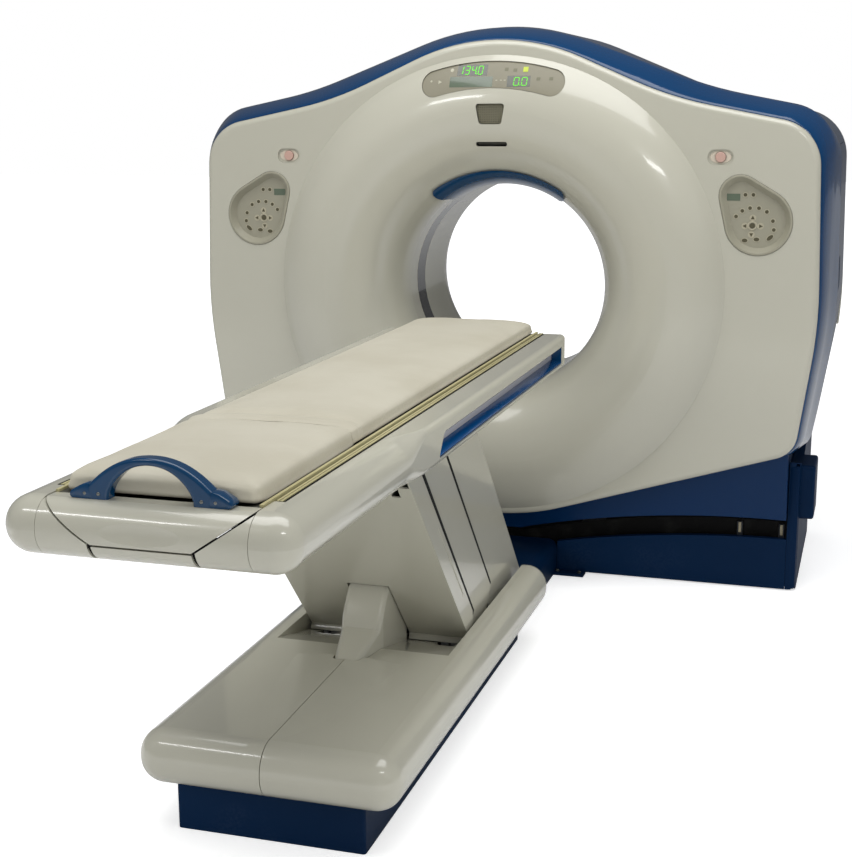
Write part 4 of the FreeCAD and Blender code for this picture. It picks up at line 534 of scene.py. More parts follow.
class Draft:
    """A piece in the making, put together from a few kinds of shape."""

    def __init__(self) -> None:
        """Starts empty."""
        self.bm = bmesh.new()

    def take(self, part: Shape) -> None:
        """Adds a finished shape, its faces turned outwards, and frees it."""
        bmesh.ops.recalc_face_normals(part, faces=part.faces)
        held = bpy.data.meshes.new("held")
        part.to_mesh(held)
        part.free()
        self.bm.from_mesh(held)
        bpy.data.meshes.remove(held)

    def hoop(self, place: Sequence[float], radius: float, thick: float, segments: int = 28) -> None:
        """Adds a round ring that lies square to Y."""
        part = bmesh.new()
        centre = Vector(place)
        bmesh.ops.create_circle(part, cap_ends=False, segments=8, radius=thick,
                                matrix=Matrix.Translation(centre + Vector((radius, 0, 0))))
        bmesh.ops.spin(part, geom=list(part.edges), cent=centre, axis=(0, 1, 0), angle=math.tau,
                       steps=segments, use_merge=True)
        bmesh.ops.remove_doubles(part, verts=part.verts, dist=0.00001)
        self.take(part)

    def relief(self, part: Shape, front: Front, proud: float, sunk: float = 0.0008) -> None:
        """Lays a flat shape on a front surface and gives it a thickness.

        Args:
            part: the flat shape, drawn in X and Z.
            front: the surface's Y at an X and Z.
            proud: how far it stands out.
            sunk: how far it reaches in.
        """
        grown = bmesh.ops.extrude_face_region(part, geom=list(part.faces))
        raised = {g for g in grown["geom"] if isinstance(g, bmesh.types.BMVert)}
        for vertex in part.verts:
            depth = front(vertex.co.x, vertex.co.z)
            vertex.co.y = depth - proud if vertex in raised else depth + sunk
        self.take(part)

    def done(self, name: str, smooth: bool = True) -> Object:
        """Makes the object."""
        return mesh_object(name, self.bm, smooth)


@dataclass
class Workshop:
    """What every sub-assembly builds with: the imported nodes, their slots and the materials made so far."""

    nodes: dict[str, Object]
    slots: dict[str, str]
    made: dict[str, bpy.types.Material] = field(default_factory=dict)

    def coat(self, piece: Object, finish: str) -> None:
        """Gives a piece one finish only, whose material is made when it is first asked for."""
        if finish not in self.made:
            self.made[finish] = FINISHES[finish].build()
        piece.data.materials.clear()
        piece.data.materials.append(self.made[finish])

    def place(self, piece: Object, finish: str, body: Body) -> None:
        """Gives a new piece its finish and the body it moves with.

        Args:
            piece: the new piece.
            finish: the finish's name.
            body: the body that it moves with.
        """
        self.coat(piece, finish)
        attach(piece, body.value)
        LOG.info("%s: %d faces on %s", piece.name, len(piece.data.polygons), body.value)

    def make(self, draft: Draft, name: str, finish: str, body: Body, smooth: bool = True) -> None:
        """Makes a drafted piece with its finish, on the body that it moves with."""
        self.place(draft.done(name, smooth), finish, body)


@dataclass(frozen=True)
class RingBulge:
    """The round swelling of the front cover about the bore."""

    crest_r: float = 0.590
    crest_y: float = -0.364
    funnel_r: float = 0.240
    flank_r: float = 0.250

    def front(self, x: float, z: float, sink: float = 0.0) -> float:
        """The Y of the cover's front at an X and Z, or of a panel that is sunk in it."""
        out = math.hypot(x, z - SCAN_HEIGHT) - self.crest_r
        radius = self.funnel_r if out <= 0 else self.flank_r
        return self.crest_y + radius - math.sqrt(max((radius - sink) ** 2 - out ** 2, 1e-6))


@dataclass
class Swelling:
    """How a stuffed pad is blown up by a short cloth run.

    The pad's base stays flat: only faces whose normal's Z is above still_z move, fully from
    still_z + fade_z on.
    """

    voxel: float
    cap: float = 0.008
    taller: float = 1.5
    base: float = 0.012
    pressure: float = 4.0
    frames: int = 20
    still_z: float = -0.55
    fade_z: float = 0.5

    def blow(self, source: Object, name: str) -> Object:
        """Copies a pad's solid and swells the copy by a cloth simulation.

        Args:
            source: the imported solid.
            name: the new piece's name.

        Returns:
            The swollen pad, with its base left flat.
        """
        bm = bmesh.new()
        bm.from_mesh(source.data)
        bmesh.ops.remove_doubles(bm, verts=bm.verts, dist=0.0002)
        bmesh.ops.recalc_face_normals(bm, faces=bm.faces)
        foot = min(v.co.z for v in bm.verts)
        for vertex in bm.verts:
            rise = vertex.co.z - foot - self.base
            if rise > 0:
                vertex.co.z += rise * (self.taller - 1.0)
        made = mesh_object(name, bm)
        remesh = made.modifiers.new("even", "REMESH")
        remesh.mode = "VOXEL"
        remesh.voxel_size = self.voxel
        self.bake(made)
        still = [v.co.copy() for v in made.data.vertices]
        normals = [v.normal.copy() for v in made.data.vertices]
        cloth = made.modifiers.new("swell", "CLOTH")
        cloth.settings.use_pressure = True
        cloth.settings.uniform_pressure_force = self.pressure
        cloth.settings.effector_weights.gravity = 0.0
        cloth.point_cache.frame_start = 1
        cloth.point_cache.frame_end = self.frames
        for frame in range(1, self.frames + 1):
            bpy.context.scene.frame_set(frame)
        self.bake(made)
        bpy.context.scene.frame_set(1)
        for vertex, before, normal in zip(made.data.vertices, still, normals):
            move = vertex.co - before
            share = min(1.0, max(0.0, (normal.z - self.still_z) / self.fade_z))
            move.z = max(move.z, 0.0)
            if move.length > self.cap:
                move *= self.cap / move.length
            vertex.co = before + move * share
        return made

    @staticmethod
    def bake(piece: Object) -> None:
        """Applies what the piece's modifiers show to its own mesh."""
        graph = bpy.context.evaluated_depsgraph_get()
        mesh = bpy.data.meshes.new_from_object(piece.evaluated_get(graph))
        piece.modifiers.clear()
        old = piece.data
        piece.data = mesh
        mesh.name = piece.name
        bpy.data.meshes.remove(old)


# ---- sub-assemblies


@dataclass
class Readout:
    """The position display over the bore: windows, lit digits, lamps and signs."""

    shop: Workshop
    bulge: RingBulge = RingBulge()
    sink: float = 0.004

    BARS = {"top": ((0, 1), (1, 1)), "foot": ((0, 0), (1, 0)), "middle": ((0, 0.5), (1, 0.5)),
            "high_left": ((0, 1), (0, 0.5)), "low_left": ((0, 0.5), (0, 0)),
            "high_right": ((1, 1), (1, 0.5)), "low_right": ((1, 0.5), (1, 0))}
    DIGITS = {"0": ("top", "foot", "high_left", "low_left", "high_right", "low_right"),
              "1": ("high_right", "low_right"),
              "3": ("top", "foot", "middle", "high_right", "low_right"),
              "4": ("middle", "high_left", "high_right", "low_right")}
    NUMBERS = (("134.0", (-0.1165, 1.7300), 0.0225, 0.0262), ("0.0", (0.0740, 1.6930), 0.0260, 0.0250))
    DASHES = (0.016, 0.031, 0.044)
    MARKS = ((0.046, 1.745), (0.075, 1.742), (0.154, 1.713), (0.195, 1.713))
    # How far the windows, what is lit and what is printed stand out.
    LCD, PANE, LIT, PRINTED = 0.0005, 0.0004, 0.0012, 0.0008

    def front(self, x: float, z: float) -> float:
        """The display's own surface."""
        return self.bulge.front(x, z, self.sink)

    def number(self, text: str, low: Flat, pitch: float, height: float) -> list[Shape]:
        """The lit bars of a number.

        Args:
            text: digits and points.
            low: the lower left corner.
            pitch: from one digit to the next.
            height: how tall the digits are.

        Returns:
            One flat shape for each bar or point.
        """
        shapes = []
        x = low[0]
        half, wide, slant = height * 0.055, pitch * 0.62, height * 0.09
        for sign in text:
            if sign == ".":
                shapes.append(disc((x - pitch * 0.2, low[1] + half), half * 1.1, 12))
                continue
            for bar in self.DIGITS[sign]:
                first, last = (Vector((x + a * wide + b * slant, low[1] + b * height))
                               for a, b in self.BARS[bar])
                way = (last - first).normalized()
                across = Vector((-way.y, way.x)) * half
                inner, outer = first + way * half * 1.2, last - way * half * 1.2
                points = [first + way * half * 0.3, inner + across, outer + across, last - way * half * 0.3,
                          outer - across, inner - across]
                shapes.append(leaf([tuple(p) for p in points]))
            x += pitch
        return shapes

    def show(self, name: str, finish: str, shapes: Sequence[Shape], proud: float,
             smooth: bool = False) -> None:
        """Makes one piece of flat shapes that are laid on the display.

        Args:
            name: the piece's name.
            finish: the finish's name.
            shapes: the flat shapes.
            proud: how far they stand out.
            smooth: shade the piece smooth.
        """
        draft = Draft()
        for shape in shapes:
            draft.relief(shape, self.front, proud)
        self.shop.make(draft, name, finish, Body.GANTRY, smooth)

    def build(self) -> None:
        """Builds the windows, then what shows on them."""
        lcd = [tile((-0.143, 1.689), (0.003, 1.7225), (14, 3))]
        self.show("display_lcd", "glass_green", lcd, self.LCD, smooth=True)
        panes = [tile((-0.121, 1.7255), (-0.018, 1.7615), (10, 3)),
                 tile((0.052, 1.6885), (0.128, 1.7235), (8, 3))]
        self.show("display_windows", "glass_dark", panes, self.PANE, smooth=True)
        digits = [shape for number in self.NUMBERS for shape in self.number(*number)]
        self.show("display_digits", "digit_green", digits, self.LIT)
        self.show("display_lamp", "lamp_lime", [tile((0.101, 1.736), (0.117, 1.752), (2, 2))], self.LIT)
        signs = [leaf([(-0.183, 1.700), (-0.171, 1.706), (-0.183, 1.712)]), disc((-0.140, 1.744), 0.006, 16),
                 disc((-0.209, 1.709), 0.0035, 14)]
        signs += [tile((x - 0.003, 1.7085), (x + 0.003, 1.7115)) for x in self.DASHES]
        self.show("display_signs", "sign_pale", signs, self.PRINTED)
        marks = [tile((x - 0.006, z - 0.005), (x + 0.006, z + 0.005)) for x, z in self.MARKS]
        self.show("display_marks", "sign_dim", marks, self.PRINTED)


@dataclass(frozen=True)
class Box:
    """A box between two corners, given for the right side, its edges rounded by edge."""

    low: Place
    high: Place
    edge: float = 0.0

    def add(self, draft: Draft, side: Side) -> None:
        """Adds it to a piece on one side."""
        part = bmesh.new()
        first, last = Vector(side.at(self.low)), Vector(side.at(self.high))
        size = [abs(b - a) for a, b in zip(first, last)]
        bmesh.ops.create_cube(part, size=1.0, matrix=Matrix.Translation((first + last) / 2)
                              @ Matrix.Diagonal((*size, 1.0)))
        bevel(part, list(part.edges), self.edge)
        draft.take(part)


@dataclass(frozen=True)
class Bar:
    """A shape with one outline from low to high along X or Y, given for the right side.

    The outline lies in the other two axes, and edge is how far the edges are rounded.
    """

    axis: str
    outline: Sequence[Flat]
    low: float
    high: float
    edge: float = 0.0

    def add(self, draft: Draft, side: Side) -> None:
        """Adds it to a piece on one side."""
        part = bmesh.new()
        number = "XY".index(self.axis)
        ends = [list(side.at((end, 0, 0) if number == 0 else (0, end, 0))) for end in (self.low, self.high)]
        corners = []
        for point in self.outline:
            corner = list(point if number == 0 else side.at(point))
            corner.insert(number, ends[0][number])
            corners.append(part.verts.new(corner))
        grown = bmesh.ops.extrude_face_region(part, geom=[part.faces.new(corners)])
        raised = [g for g in grown["geom"] if isinstance(g, bmesh.types.BMVert)]
        bmesh.ops.translate(part, verts=raised, vec=Vector(ends[1]) - Vector(ends[0]))
        bmesh.ops.recalc_face_normals(part, faces=part.faces)
        bevel(part, list(part.edges), self.edge)
        draft.take(part)


@dataclass(frozen=True)
class Pin:
    """A round rod or cone along a direction, given for the right side.

    Its place is the middle of its first end, tip is its radius at the other end, segments says how
    many faces go round it, and edge is how far the edges of its ends are rounded.
    """

    place: Place
    along: Place
    radius: float
    length: float
    tip: float
    segments: int
    edge: float = 0.0

    def add(self, draft: Draft, side: Side) -> None:
        """Adds it to a piece on one side."""
        part = bmesh.new()
        way = Vector(self.along).normalized()
        middle = Matrix.Translation(Vector(side.at(self.place)) + way * self.length / 2)
        bmesh.ops.create_cone(part, cap_ends=True, segments=self.segments, radius1=self.radius,
                              radius2=self.tip, depth=self.length,
                              matrix=middle @ way.to_track_quat("Z", "Y").to_matrix().to_4x4())
        bevel(part, [e for e in part.edges if any(len(f.verts) > 4 for f in e.link_faces)], self.edge)
        draft.take(part)


@dataclass(frozen=True)
class Fitting:
    """A small piece that stands on both sides: its look, the body it rides on and its shapes."""

    name: str
    finish: str
    body: Body
    shapes: Sequence[Any]
    smooth: bool = True


@dataclass
class Dress:
    """A sub-assembly on one side of the scanner, made from a table of fittings."""

    shop: Workshop
    side: Side

    FITTINGS = ()

    def build(self) -> None:
        """Builds each fitting of the table."""
        for fitting in self.FITTINGS:
            draft = Draft()
            for shape in fitting.shapes:
                shape.add(draft, self.side)
            self.shop.make(draft, self.side.named(fitting.name), fitting.finish, fitting.body, fitting.smooth)


@dataclass
class ControlKeys(Dress):
    """The keys in one of the two hand control dishes. Sizes and places are in millimetres."""

    centre: Flat = (0.855, 1.282)
    floor: float = -0.273

    ROUND = ((-35, 65), (-10, 65), (-62, -4), (-43, 14), (-19, 23), (9, 23), (34, 12), (54, -17), (58, -45))
    OVALS = ((-32, -80, 9, 6, 0), (5, -76, 9, 6, 0), (47, -70, 12, 6, 40))
    ARROWS = ((-9, -8, 90), (-33, -34, 180), (16, -34, 0), (-12, -61, 270))
    HUB = (-10, -33)
    WINDOW = ((-93, 46), (-51, 68))
    ROUND_R, ROUND_RIM, OVAL_RIM, ARROW_R = 5.8, 2.8, 2.6, 10.5
    # In metres: an arrow's size, the hub ring's radius and thickness and its cap's radius.
    ARROW_SIZE, HUB_R, HUB_THICK, HUB_CAP = 0.0075, 0.0125, 0.0026, 0.0085
    # In metres: how far the rims, the caps, the arrows, the hub and the window stand out.
    RIM, CAP, ARROW, LOW, PANE = 0.0009, 0.0018, 0.0016, 0.0012, 0.0008

    def at(self, x: float, z: float) -> Flat:
        """A place in the dish, given in millimetres from its middle on the right side."""
        return self.side.value * (self.centre[0] + x / 1000), self.centre[1] + z / 1000

    def level(self, _x: float, _z: float) -> float:
        """The flat floor of the dish, the same at every X and Z."""
        return self.floor

    def oval(self, x: float, z: float, wide: float, high: float, turn: float) -> Shape:
        """A flat oval, its sizes in millimetres and its turn in degrees."""
        part = disc((0, 0), 0.001, 24)
        place = self.at(x, z)
        lean = Matrix.Rotation(-math.radians(turn) * self.side.value, 4, "Y")
        move = Matrix.Translation((place[0], 0, place[1])) @ lean @ Matrix.Diagonal((wide, 1.0, high, 1.0))
        bmesh.ops.transform(part, matrix=move, verts=part.verts)
        return part

    def arrow(self, x: float, z: float, turn: float, size: float) -> Shape:
        """A flat arrow head, pointing along X before its turn."""
        place = self.at(x, z)
        points = []
        for angle in (0, 125, 235):
            a = math.radians(angle + turn)
            points.append((place[0] + math.cos(a) * size * self.side.value, place[1] + math.sin(a) * size))
        return leaf(points)

    def build(self) -> None:
        """Builds the pale rims, the dark caps, the hub ring and the small window."""
        rims, caps, window = Draft(), Draft(), Draft()
        keys = [(x, z, self.ROUND_R, self.ROUND_R, 0, self.ROUND_RIM) for x, z in self.ROUND]
        keys += [(*oval, self.OVAL_RIM) for oval in self.OVALS]
        for x, z, wide, high, turn, rim in keys:
            rims.relief(self.oval(x, z, wide + rim, high + rim, turn), self.level, self.RIM)
            caps.relief(self.oval(x, z, wide, high, turn), self.level, self.CAP)
        for x, z, turn in self.ARROWS:
            rims.relief(self.oval(x, z, self.ARROW_R, self.ARROW_R, 0), self.level, self.RIM)
            caps.relief(self.arrow(x, z, turn, self.ARROW_SIZE), self.level, self.ARROW)
        x, z = self.at(*self.HUB)
        rims.hoop((x, self.floor, z), self.HUB_R, self.HUB_THICK)
        caps.relief(disc((x, z), self.HUB_CAP, 24), self.level, self.LOW)
        self.shop.make(rims, self.side.named("key_rims"), "key_pale", Body.GANTRY)
        self.shop.make(caps, self.side.named("key_caps"), "key_dark", Body.GANTRY)
        across, up = zip(*(self.at(*corner) for corner in self.WINDOW))
        window.relief(tile((min(across), min(up)), (max(across), max(up))), self.level, self.PANE)
        self.shop.make(window, self.side.named("key_window"), "glass_green", Body.GANTRY)


@dataclass
class StopSurround(Dress):
    """The pale oval plate about a stop button."""

    centre: Flat = (0.739, 1.465)
    wide: float = 0.0345
    high: float = 0.019795
    hole: float = 0.0178
    proud: float = 0.0016
    floor: float = -0.283
    segments: int = 48

    # The hole's bevel, and where the flat of the plate ends as a share of its width and height.
    BEVEL, FLAT_WIDE, FLAT_HIGH = 0.0004, 0.95, 0.96

    def build(self) -> None:
        """Builds the plate, from the rim of its hole out to its foot."""
        part = bmesh.new()
        x, z = self.side.at(self.centre)
        rim = self.hole + self.BEVEL
        steps = ((self.hole, self.hole, 0.0), (rim, rim, self.proud),
                 (self.wide * self.FLAT_WIDE, self.high * self.FLAT_HIGH, self.proud),
                 (self.wide, self.high, 0.0))
        turns = [math.tau * k / self.segments for k in range(self.segments)]
        rings = [[part.verts.new((x + wide * math.cos(turn), self.floor - out, z + high * math.sin(turn)))
                  for turn in turns] for wide, high, out in steps]
        for first, last in zip(rings, rings[1:]):
            for k in range(self.segments):
                part.faces.new((first[k - 1], first[k], last[k], last[k - 1]))
        part.normal_update()
        if sum(face.normal.y for face in part.faces) > 0:
            bmesh.ops.reverse_faces(part, faces=part.faces)
        draft = Draft()
        draft.take(part)
        self.shop.make(draft, self.side.named("stop_plate"), "stop_oval", Body.GANTRY, smooth=False)


@dataclass
class GripShade(Dress):
    """A black back plate with louvres in the hand grip of a side cover: painted shade of the grip's recess.
    """

    back: float = 1.0840
    low: Flat = (-0.016, 1.024)
    high: Flat = (0.086, 1.126)
    louvres: int = 6
    inset: float = 0.006

    # A louvre's outline: out from the back plate, and up from its own height.
    LOUVRE = ((0.0, -0.005), (0.010, 0.001), (0.010, 0.003), (0.0, 0.0))

    def build(self) -> None:
        """Builds the back plate and the louvres."""
        draft = Draft()
        Box((self.back - 0.0005, *self.low), (self.back + 0.0015, *self.high), 0.0004).add(draft, self.side)
        step = (self.high[1] - self.low[1]) / self.louvres
        for k in range(self.louvres):
            z = self.low[1] + (k + 0.5) * step
            outline = [(self.back + out, z + up) for out, up in self.LOUVRE]
            louvre = Bar("Y", outline, self.low[0] + self.inset, self.high[0] - self.inset, 0.0003)
            louvre.add(draft, self.side)
        self.shop.make(draft, self.side.named("grip_shade"), "black_sheet", Body.GANTRY)


class RailDress(Dress):
    """What lies along one side rail: the sliding track, black strips in its gaps as painted shade, and the
    liner of the recess, its grey back a painted reflection.
    """

    NEAR, HEAD, RECESS_HEAD = -2.707, -0.553, -0.603
    FITTINGS = (
        Fitting("slide_track", "strip_yellow", Body.TABLE, (
            Box((0.2165, NEAR, 0.9165), (0.2215, HEAD, 0.9192), 0.0008),
            Box((0.2235, NEAR, 0.9165), (0.2290, HEAD, 0.9192), 0.0008))),
        # Black strips in the gaps beside and between the track's strips: painted shade.
        Fitting("slide_gap_shade", "black_sheet", Body.TABLE, (
            Box((0.2215, NEAR, 0.9162), (0.2235, HEAD, 0.9172)),
            Box((0.2290, NEAR, 0.9162), (0.2358, HEAD, 0.9170))), smooth=False),
        # A grey plate over the blue liner's back wall: painted reflection.
        Fitting("recess_back_reflection", "recess_grey", Body.TABLE, (
            Bar("X", ((-1.916, 0.840), (RECESS_HEAD, 0.840), (RECESS_HEAD, 0.880), (-1.890, 0.880)),
                0.2648, 0.2672, 0.0005),)),
        Fitting("recess_sill", "sill_blue", Body.TABLE, (
            Bar("Y", ((0.2660, 0.8440), (0.2968, 0.8348), (0.2968, 0.8325), (0.2660, 0.8325)),
                -1.940, RECESS_HEAD + 0.001, 0.0006),)),
    )


@dataclass
class BaseShadeSheet:
    """A black sheet in the gantry's base that closes the view under the tilting covers: painted shade."""

    shop: Workshop
    low: Place = (-0.930, -0.105, 0.0900)
    high: Place = (0.930, 0.600, 0.0920)

    def build(self) -> None:
        """Builds the black sheet."""
        draft = Draft()
        Box(self.low, self.high, 0.0005).add(draft, Side.RIGHT)
        self.shop.make(draft, "base_shade_sheet", "black_sheet", Body.BASE)


@dataclass
class TrimBow:
    """The glossy blue band about the front cover, its front flank bowed out as the moulding is."""

    shop: Workshop
    front: float = -0.2605
    ridge: float = -0.150
    wide: float = 0.018
    middle_z: float = 1.05
    cuts: tuple[float, ...] = (-0.2600, -0.2585, -0.2560, -0.2520, -0.2460, -0.2370, -0.2250, -0.2100,
                               -0.1900, -0.1700)

    def swell(self, y: float) -> float:
        """How far the bowed flank stands out from the straight one at a place along Y."""
        share = (y - self.front) / (self.ridge - self.front)
        if not 0.0 < share < 1.0:
            return 0.0
        return self.wide * (math.sqrt(1.0 - (1.0 - share) ** 2) - share)

    def build(self) -> None:
        """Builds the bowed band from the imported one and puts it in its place."""
        part = bmesh.new()
        part.from_mesh(self.shop.nodes["trim_band"].data)
        bmesh.ops.remove_doubles(part, verts=part.verts, dist=0.0001)
        for y in self.cuts:
            everything = [*part.verts, *part.edges, *part.faces]
            bmesh.ops.bisect_plane(part, geom=everything, dist=0.00005,
                                   plane_co=(0, y, 0), plane_no=(0, 1, 0))
        part.normal_update()
        moves = []
        for vertex in part.verts:
            out = Vector((vertex.normal.x, 0.0, vertex.normal.z))
            away = Vector((vertex.co.x, 0.0, vertex.co.z - self.middle_z))
            if out.length > 0.5 and out.dot(away) > 0:
                moves.append((vertex, out.normalized() * self.swell(vertex.co.y)))
        for vertex, move in moves:
            vertex.co += move
        made = mesh_object("trim_bow", part)
        self.shop.place(made, "cover_blue", Body.GANTRY)
        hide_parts("trim_band")


def on_leg(pivot_y: float, line: Sequence[Flat]) -> list[Flat]:
    """An outline's Y and Z from how far its points are up a leg at rest and off it to the gantry."""
    return [(pivot_y - up * math.sin(LEG_LEAN) + off * math.cos(LEG_LEAN),
             LEG_PIVOT_Z + up * math.cos(LEG_LEAN) + off * math.sin(LEG_LEAN)) for up, off in line]


class LegSeamShades(Dress):
    """Black strips in the seams between the nested leg covers: painted shade of the gaps."""

    FITTINGS = (
        Fitting("near_seam_shade", "black_sheet", Body.FRONT_LINK, (
            Bar("X", on_leg(-1.413, ((0.045, 0.066), (0.045, 0.082), (0.862, 0.090), (0.862, 0.066))),
                0.2226, 0.2294, 0.0005),)),
        Fitting("middle_seam_shade", "black_sheet", Body.MIDDLE_LINK, (
            Bar("X", on_leg(-1.282, ((0.000, 0.134), (0.000, 0.151), (0.730, 0.1545), (0.730, 0.134))),
                0.2146, 0.2214, 0.0005),)),
    )


class BaseDress(Dress):
    """Small fittings of the two bases: lug pads, the well's lip, skirt corners, cover flanks and bolts."""

    UP = (0, 0, 1)
    FITTINGS = (
        Fitting("stop_pads", "pad_tan", Body.BASE, (
            Box((0.8275, -0.1215, 0.188), (0.8365, -0.1180, 0.224), 0.0010),
            Box((0.9675, -0.1215, 0.188), (0.9765, -0.1180, 0.224), 0.0010))),
        Fitting("well_lip", "cover_cream", Body.BASE, (
            Box((0.0595, -1.4530, 0.1700), (0.2372, -1.4490, 0.1815), 0.0008),)),
        Fitting("skirt_corner", "skirt_navy", Body.BASE, (
            Box((0.9905, -0.1465, 0.0060), (1.0260, -0.0950, 0.4380), 0.0080),)),
        Fitting("lower_cover_flank", "skirt_navy", Body.GANTRY, (
            Box((0.9840, -0.1370, 0.2700), (0.9895, 0.1600, 0.4700), 0.0020),)),
        Fitting("plate_bolts", "screw_zinc", Body.BASE, (
            Pin((0.205, -0.171, 0.0088), UP, 0.0085, 0.0016, 0.0085, 24),
            Pin((0.205, -0.171, 0.0100), UP, 0.0065, 0.0052, 0.0065, 6, 0.0006),
            Pin((0.283, -0.171, 0.0088), UP, 0.0085, 0.0016, 0.0085, 24),
            Pin((0.283, -0.171, 0.0100), UP, 0.0065, 0.0052, 0.0065, 6, 0.0006))),
    )


@dataclass
class EndDress(Dress):
    """The foot end on one side: black strips in the gaps about the end cap as painted shade, and the handle's
    toe and screws.
    """

    foot: float = -2.832
    nose_r: float = 0.057
    nose_z: float = 0.8605
    sunk: float = 0.004
    rows: int = 9

    TOWARDS = (0, -1, 0)
    # The sloping seam's first point, how far it runs over and up, and the shade strip's corners off it.
    SEAM, RUN = (0.1020, 0.8430), (0.0965, 0.0650)
    TROUGH_X, TROUGH_Z = (0.1012, 0.1088), (0.8055, 0.8430)
    LIP = ((0.0003, -0.0006), (0.0060, -0.0090))
    FITTINGS = (
        Fitting("handle_toe", "blue_trim", Body.CRADLE, (
            Bar("Y", ((0.1180, 0.9166), (0.1590, 0.9166), (0.1635, 0.9205), (0.1640, 0.9262),
                      (0.1600, 0.9316), (0.1500, 0.9375), (0.1380, 0.9440), (0.1240, 0.9480)),
                -2.7858, -2.7502, 0.0045),)),
        Fitting("handle_screws", "screw_zinc", Body.CRADLE, (
            Pin((0.104, -2.7840, 0.9275), TOWARDS, 0.0042, 0.0022, 0.0030, 20, 0.0005),
            Pin((0.132, -2.7840, 0.9275), TOWARDS, 0.0042, 0.0022, 0.0030, 20, 0.0005))),
    )

    def nose(self, low: float, high: float) -> float:
        """The Y of a shade strip that lies just inside the rounded foot end between two heights."""
        rises = (max(self.nose_r ** 2 - (z - self.nose_z) ** 2, 0.0) for z in (low, high))
        return self.foot + self.nose_r - min(math.sqrt(rise) for rise in rises) + self.sunk

    def build(self) -> None:
        """Builds the black shade strips in short steps, along the trough and then up the sloping seam, and
        the fittings.
        """
        shade_strips = Draft()
        low, high = self.TROUGH_Z
        for k in range(self.rows):
            z0, z1 = (low + (high - low) * (k + j) / self.rows for j in (0, 1))
            inner, outer = self.TROUGH_X
            Box((inner, self.nose(z0, z1), z0), (outer, self.foot + 0.110, z1)).add(shade_strips, self.side)
        for k in range(self.rows):
            first, last = ([start + run * (k + j) / self.rows for start, run in zip(self.SEAM, self.RUN)]
                           for j in (0, 1))
            inner, outer = self.LIP
            outline = [(point[0] + lip[0], point[1] + lip[1])
                       for point, lip in ((first, inner), (last, inner), (last, outer), (first, outer))]
            Bar("Y", outline, self.nose(first[1], last[1]), self.foot + 0.112).add(shade_strips, self.side)
        self.shop.make(shade_strips, self.side.named("cap_gap_shade"), "black_sheet", Body.TABLE, smooth=False)
        super().build()


@dataclass
class Mattress:
    """The vinyl pads that lie in the cradle, with the flap over their joint."""

    shop: Workshop
    split: float = -2.210

    VOXELS = {"pad_main": 0.011, "pad_foot": 0.009}
    # The flap's rows: how far each lies from the foot pad to the main pad, and how far off them.
    STEPS = ((0.0, 0.0005), (0.12, 0.0016), (0.3, 0.0024), (0.44, 0.0050), (0.52, 0.0026), (0.62, 0.0038),
             (0.75, 0.0018), (0.9, 0.0014), (1.0, 0.0004))
    REACH, CORE_Z, THICK = 0.034, 0.80, 0.0016
    FLANK_Z = (0.922, 0.929, 0.936)
    # The flap's ripple: its height, and how fast it turns across and along.
    WAVE, ACROSS, ALONG = 0.0012, 31.0, 2.4

    @staticmethod
    def finer(piece: Object, levels: int) -> None:
        """Adds a subdivision with the same levels in the view and in the render."""
        soft = piece.modifiers.new("soft", "SUBSURF")
        soft.levels = levels
        soft.render_levels = levels

    def pads(self) -> list[Object]:
        """Builds the swollen pads in place of the plain solids."""
        made = []
        for node, voxel in self.VOXELS.items():
            pad = Swelling(voxel).blow(self.shop.nodes[node], node + "_cover")
            pad.data.shade_smooth()
            self.finer(pad, 1)
            self.shop.place(pad, "pad_beige", Body.CRADLE)
            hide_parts(node)
            made.append(pad)
        return made

    def row(self, tree: BVHTree, y: float) -> list[Vector]:
        """The outline of a pad across the table at one place along it.

        Args:
            tree: the pad's surface.
            y: where it is cut.

        Returns:
            Points from the left side over the top to the right side.
        """
        casts = [((0, y, z), (-1, 0, 0)) for z in self.FLANK_Z]
        casts += [((0, y, 0.944), (-1, 0, 0.012)), ((-0.18, y, 0.940), (-0.8, 0, 0.6))]
        casts += [((x / 100, y, 0.935), (0, 0, 1)) for x in range(-18, 19, 2)]
        casts += [((-place[0], y, place[2]), (-way[0], 0, way[2])) for place, way in reversed(casts[:5])]
        points = []
        for place, way in casts:
            hit = tree.ray_cast(Vector(place), Vector(way).normalized(), 0.5)[0]
            if hit is None:
                hit = Vector(place)
            points.append(hit)
        return points

    def flap(self, pads: Sequence[Object]) -> None:
        """Builds the flap of the foot pad's slip that bridges the joint, laid on both pads."""
        graph = bpy.context.evaluated_depsgraph_get()
        trees = [BVHTree.FromObject(pad, graph) for pad in pads]
        far = self.row(trees[0], self.split + self.REACH)
        near = self.row(trees[1], self.split - self.REACH)
        part = bmesh.new()
        rows = []
        for share, lift in self.STEPS:
            line = []
            for a, b in zip(near, far):
                point = a.lerp(b, share)
                out = Vector((point.x, 0, point.z - self.CORE_Z)).normalized()
                wave = self.WAVE * math.sin(point.x * self.ACROSS + share * self.ALONG)
                line.append(part.verts.new(point + out * (lift + wave * (1 - abs(2 * share - 1)))))
            rows.append(line)
        for first, last in zip(rows, rows[1:]):
            for k in range(len(first) - 1):
                part.faces.new((first[k], first[k + 1], last[k + 1], last[k]))
        bmesh.ops.recalc_face_normals(part, faces=part.faces)
        if sum(face.normal.z for face in part.faces) < 0:
            bmesh.ops.reverse_faces(part, faces=part.faces)
        made = mesh_object("pad_flap", part)
        wall = made.modifiers.new("thick", "SOLIDIFY")
        wall.thickness = self.THICK
        wall.offset = 0.0
        self.finer(made, 2)
        self.shop.place(made, "pad_beige", Body.CRADLE)

    def build(self) -> None:
        """Builds the pads and the flap."""
        self.flap(self.pads())


# ---- stage


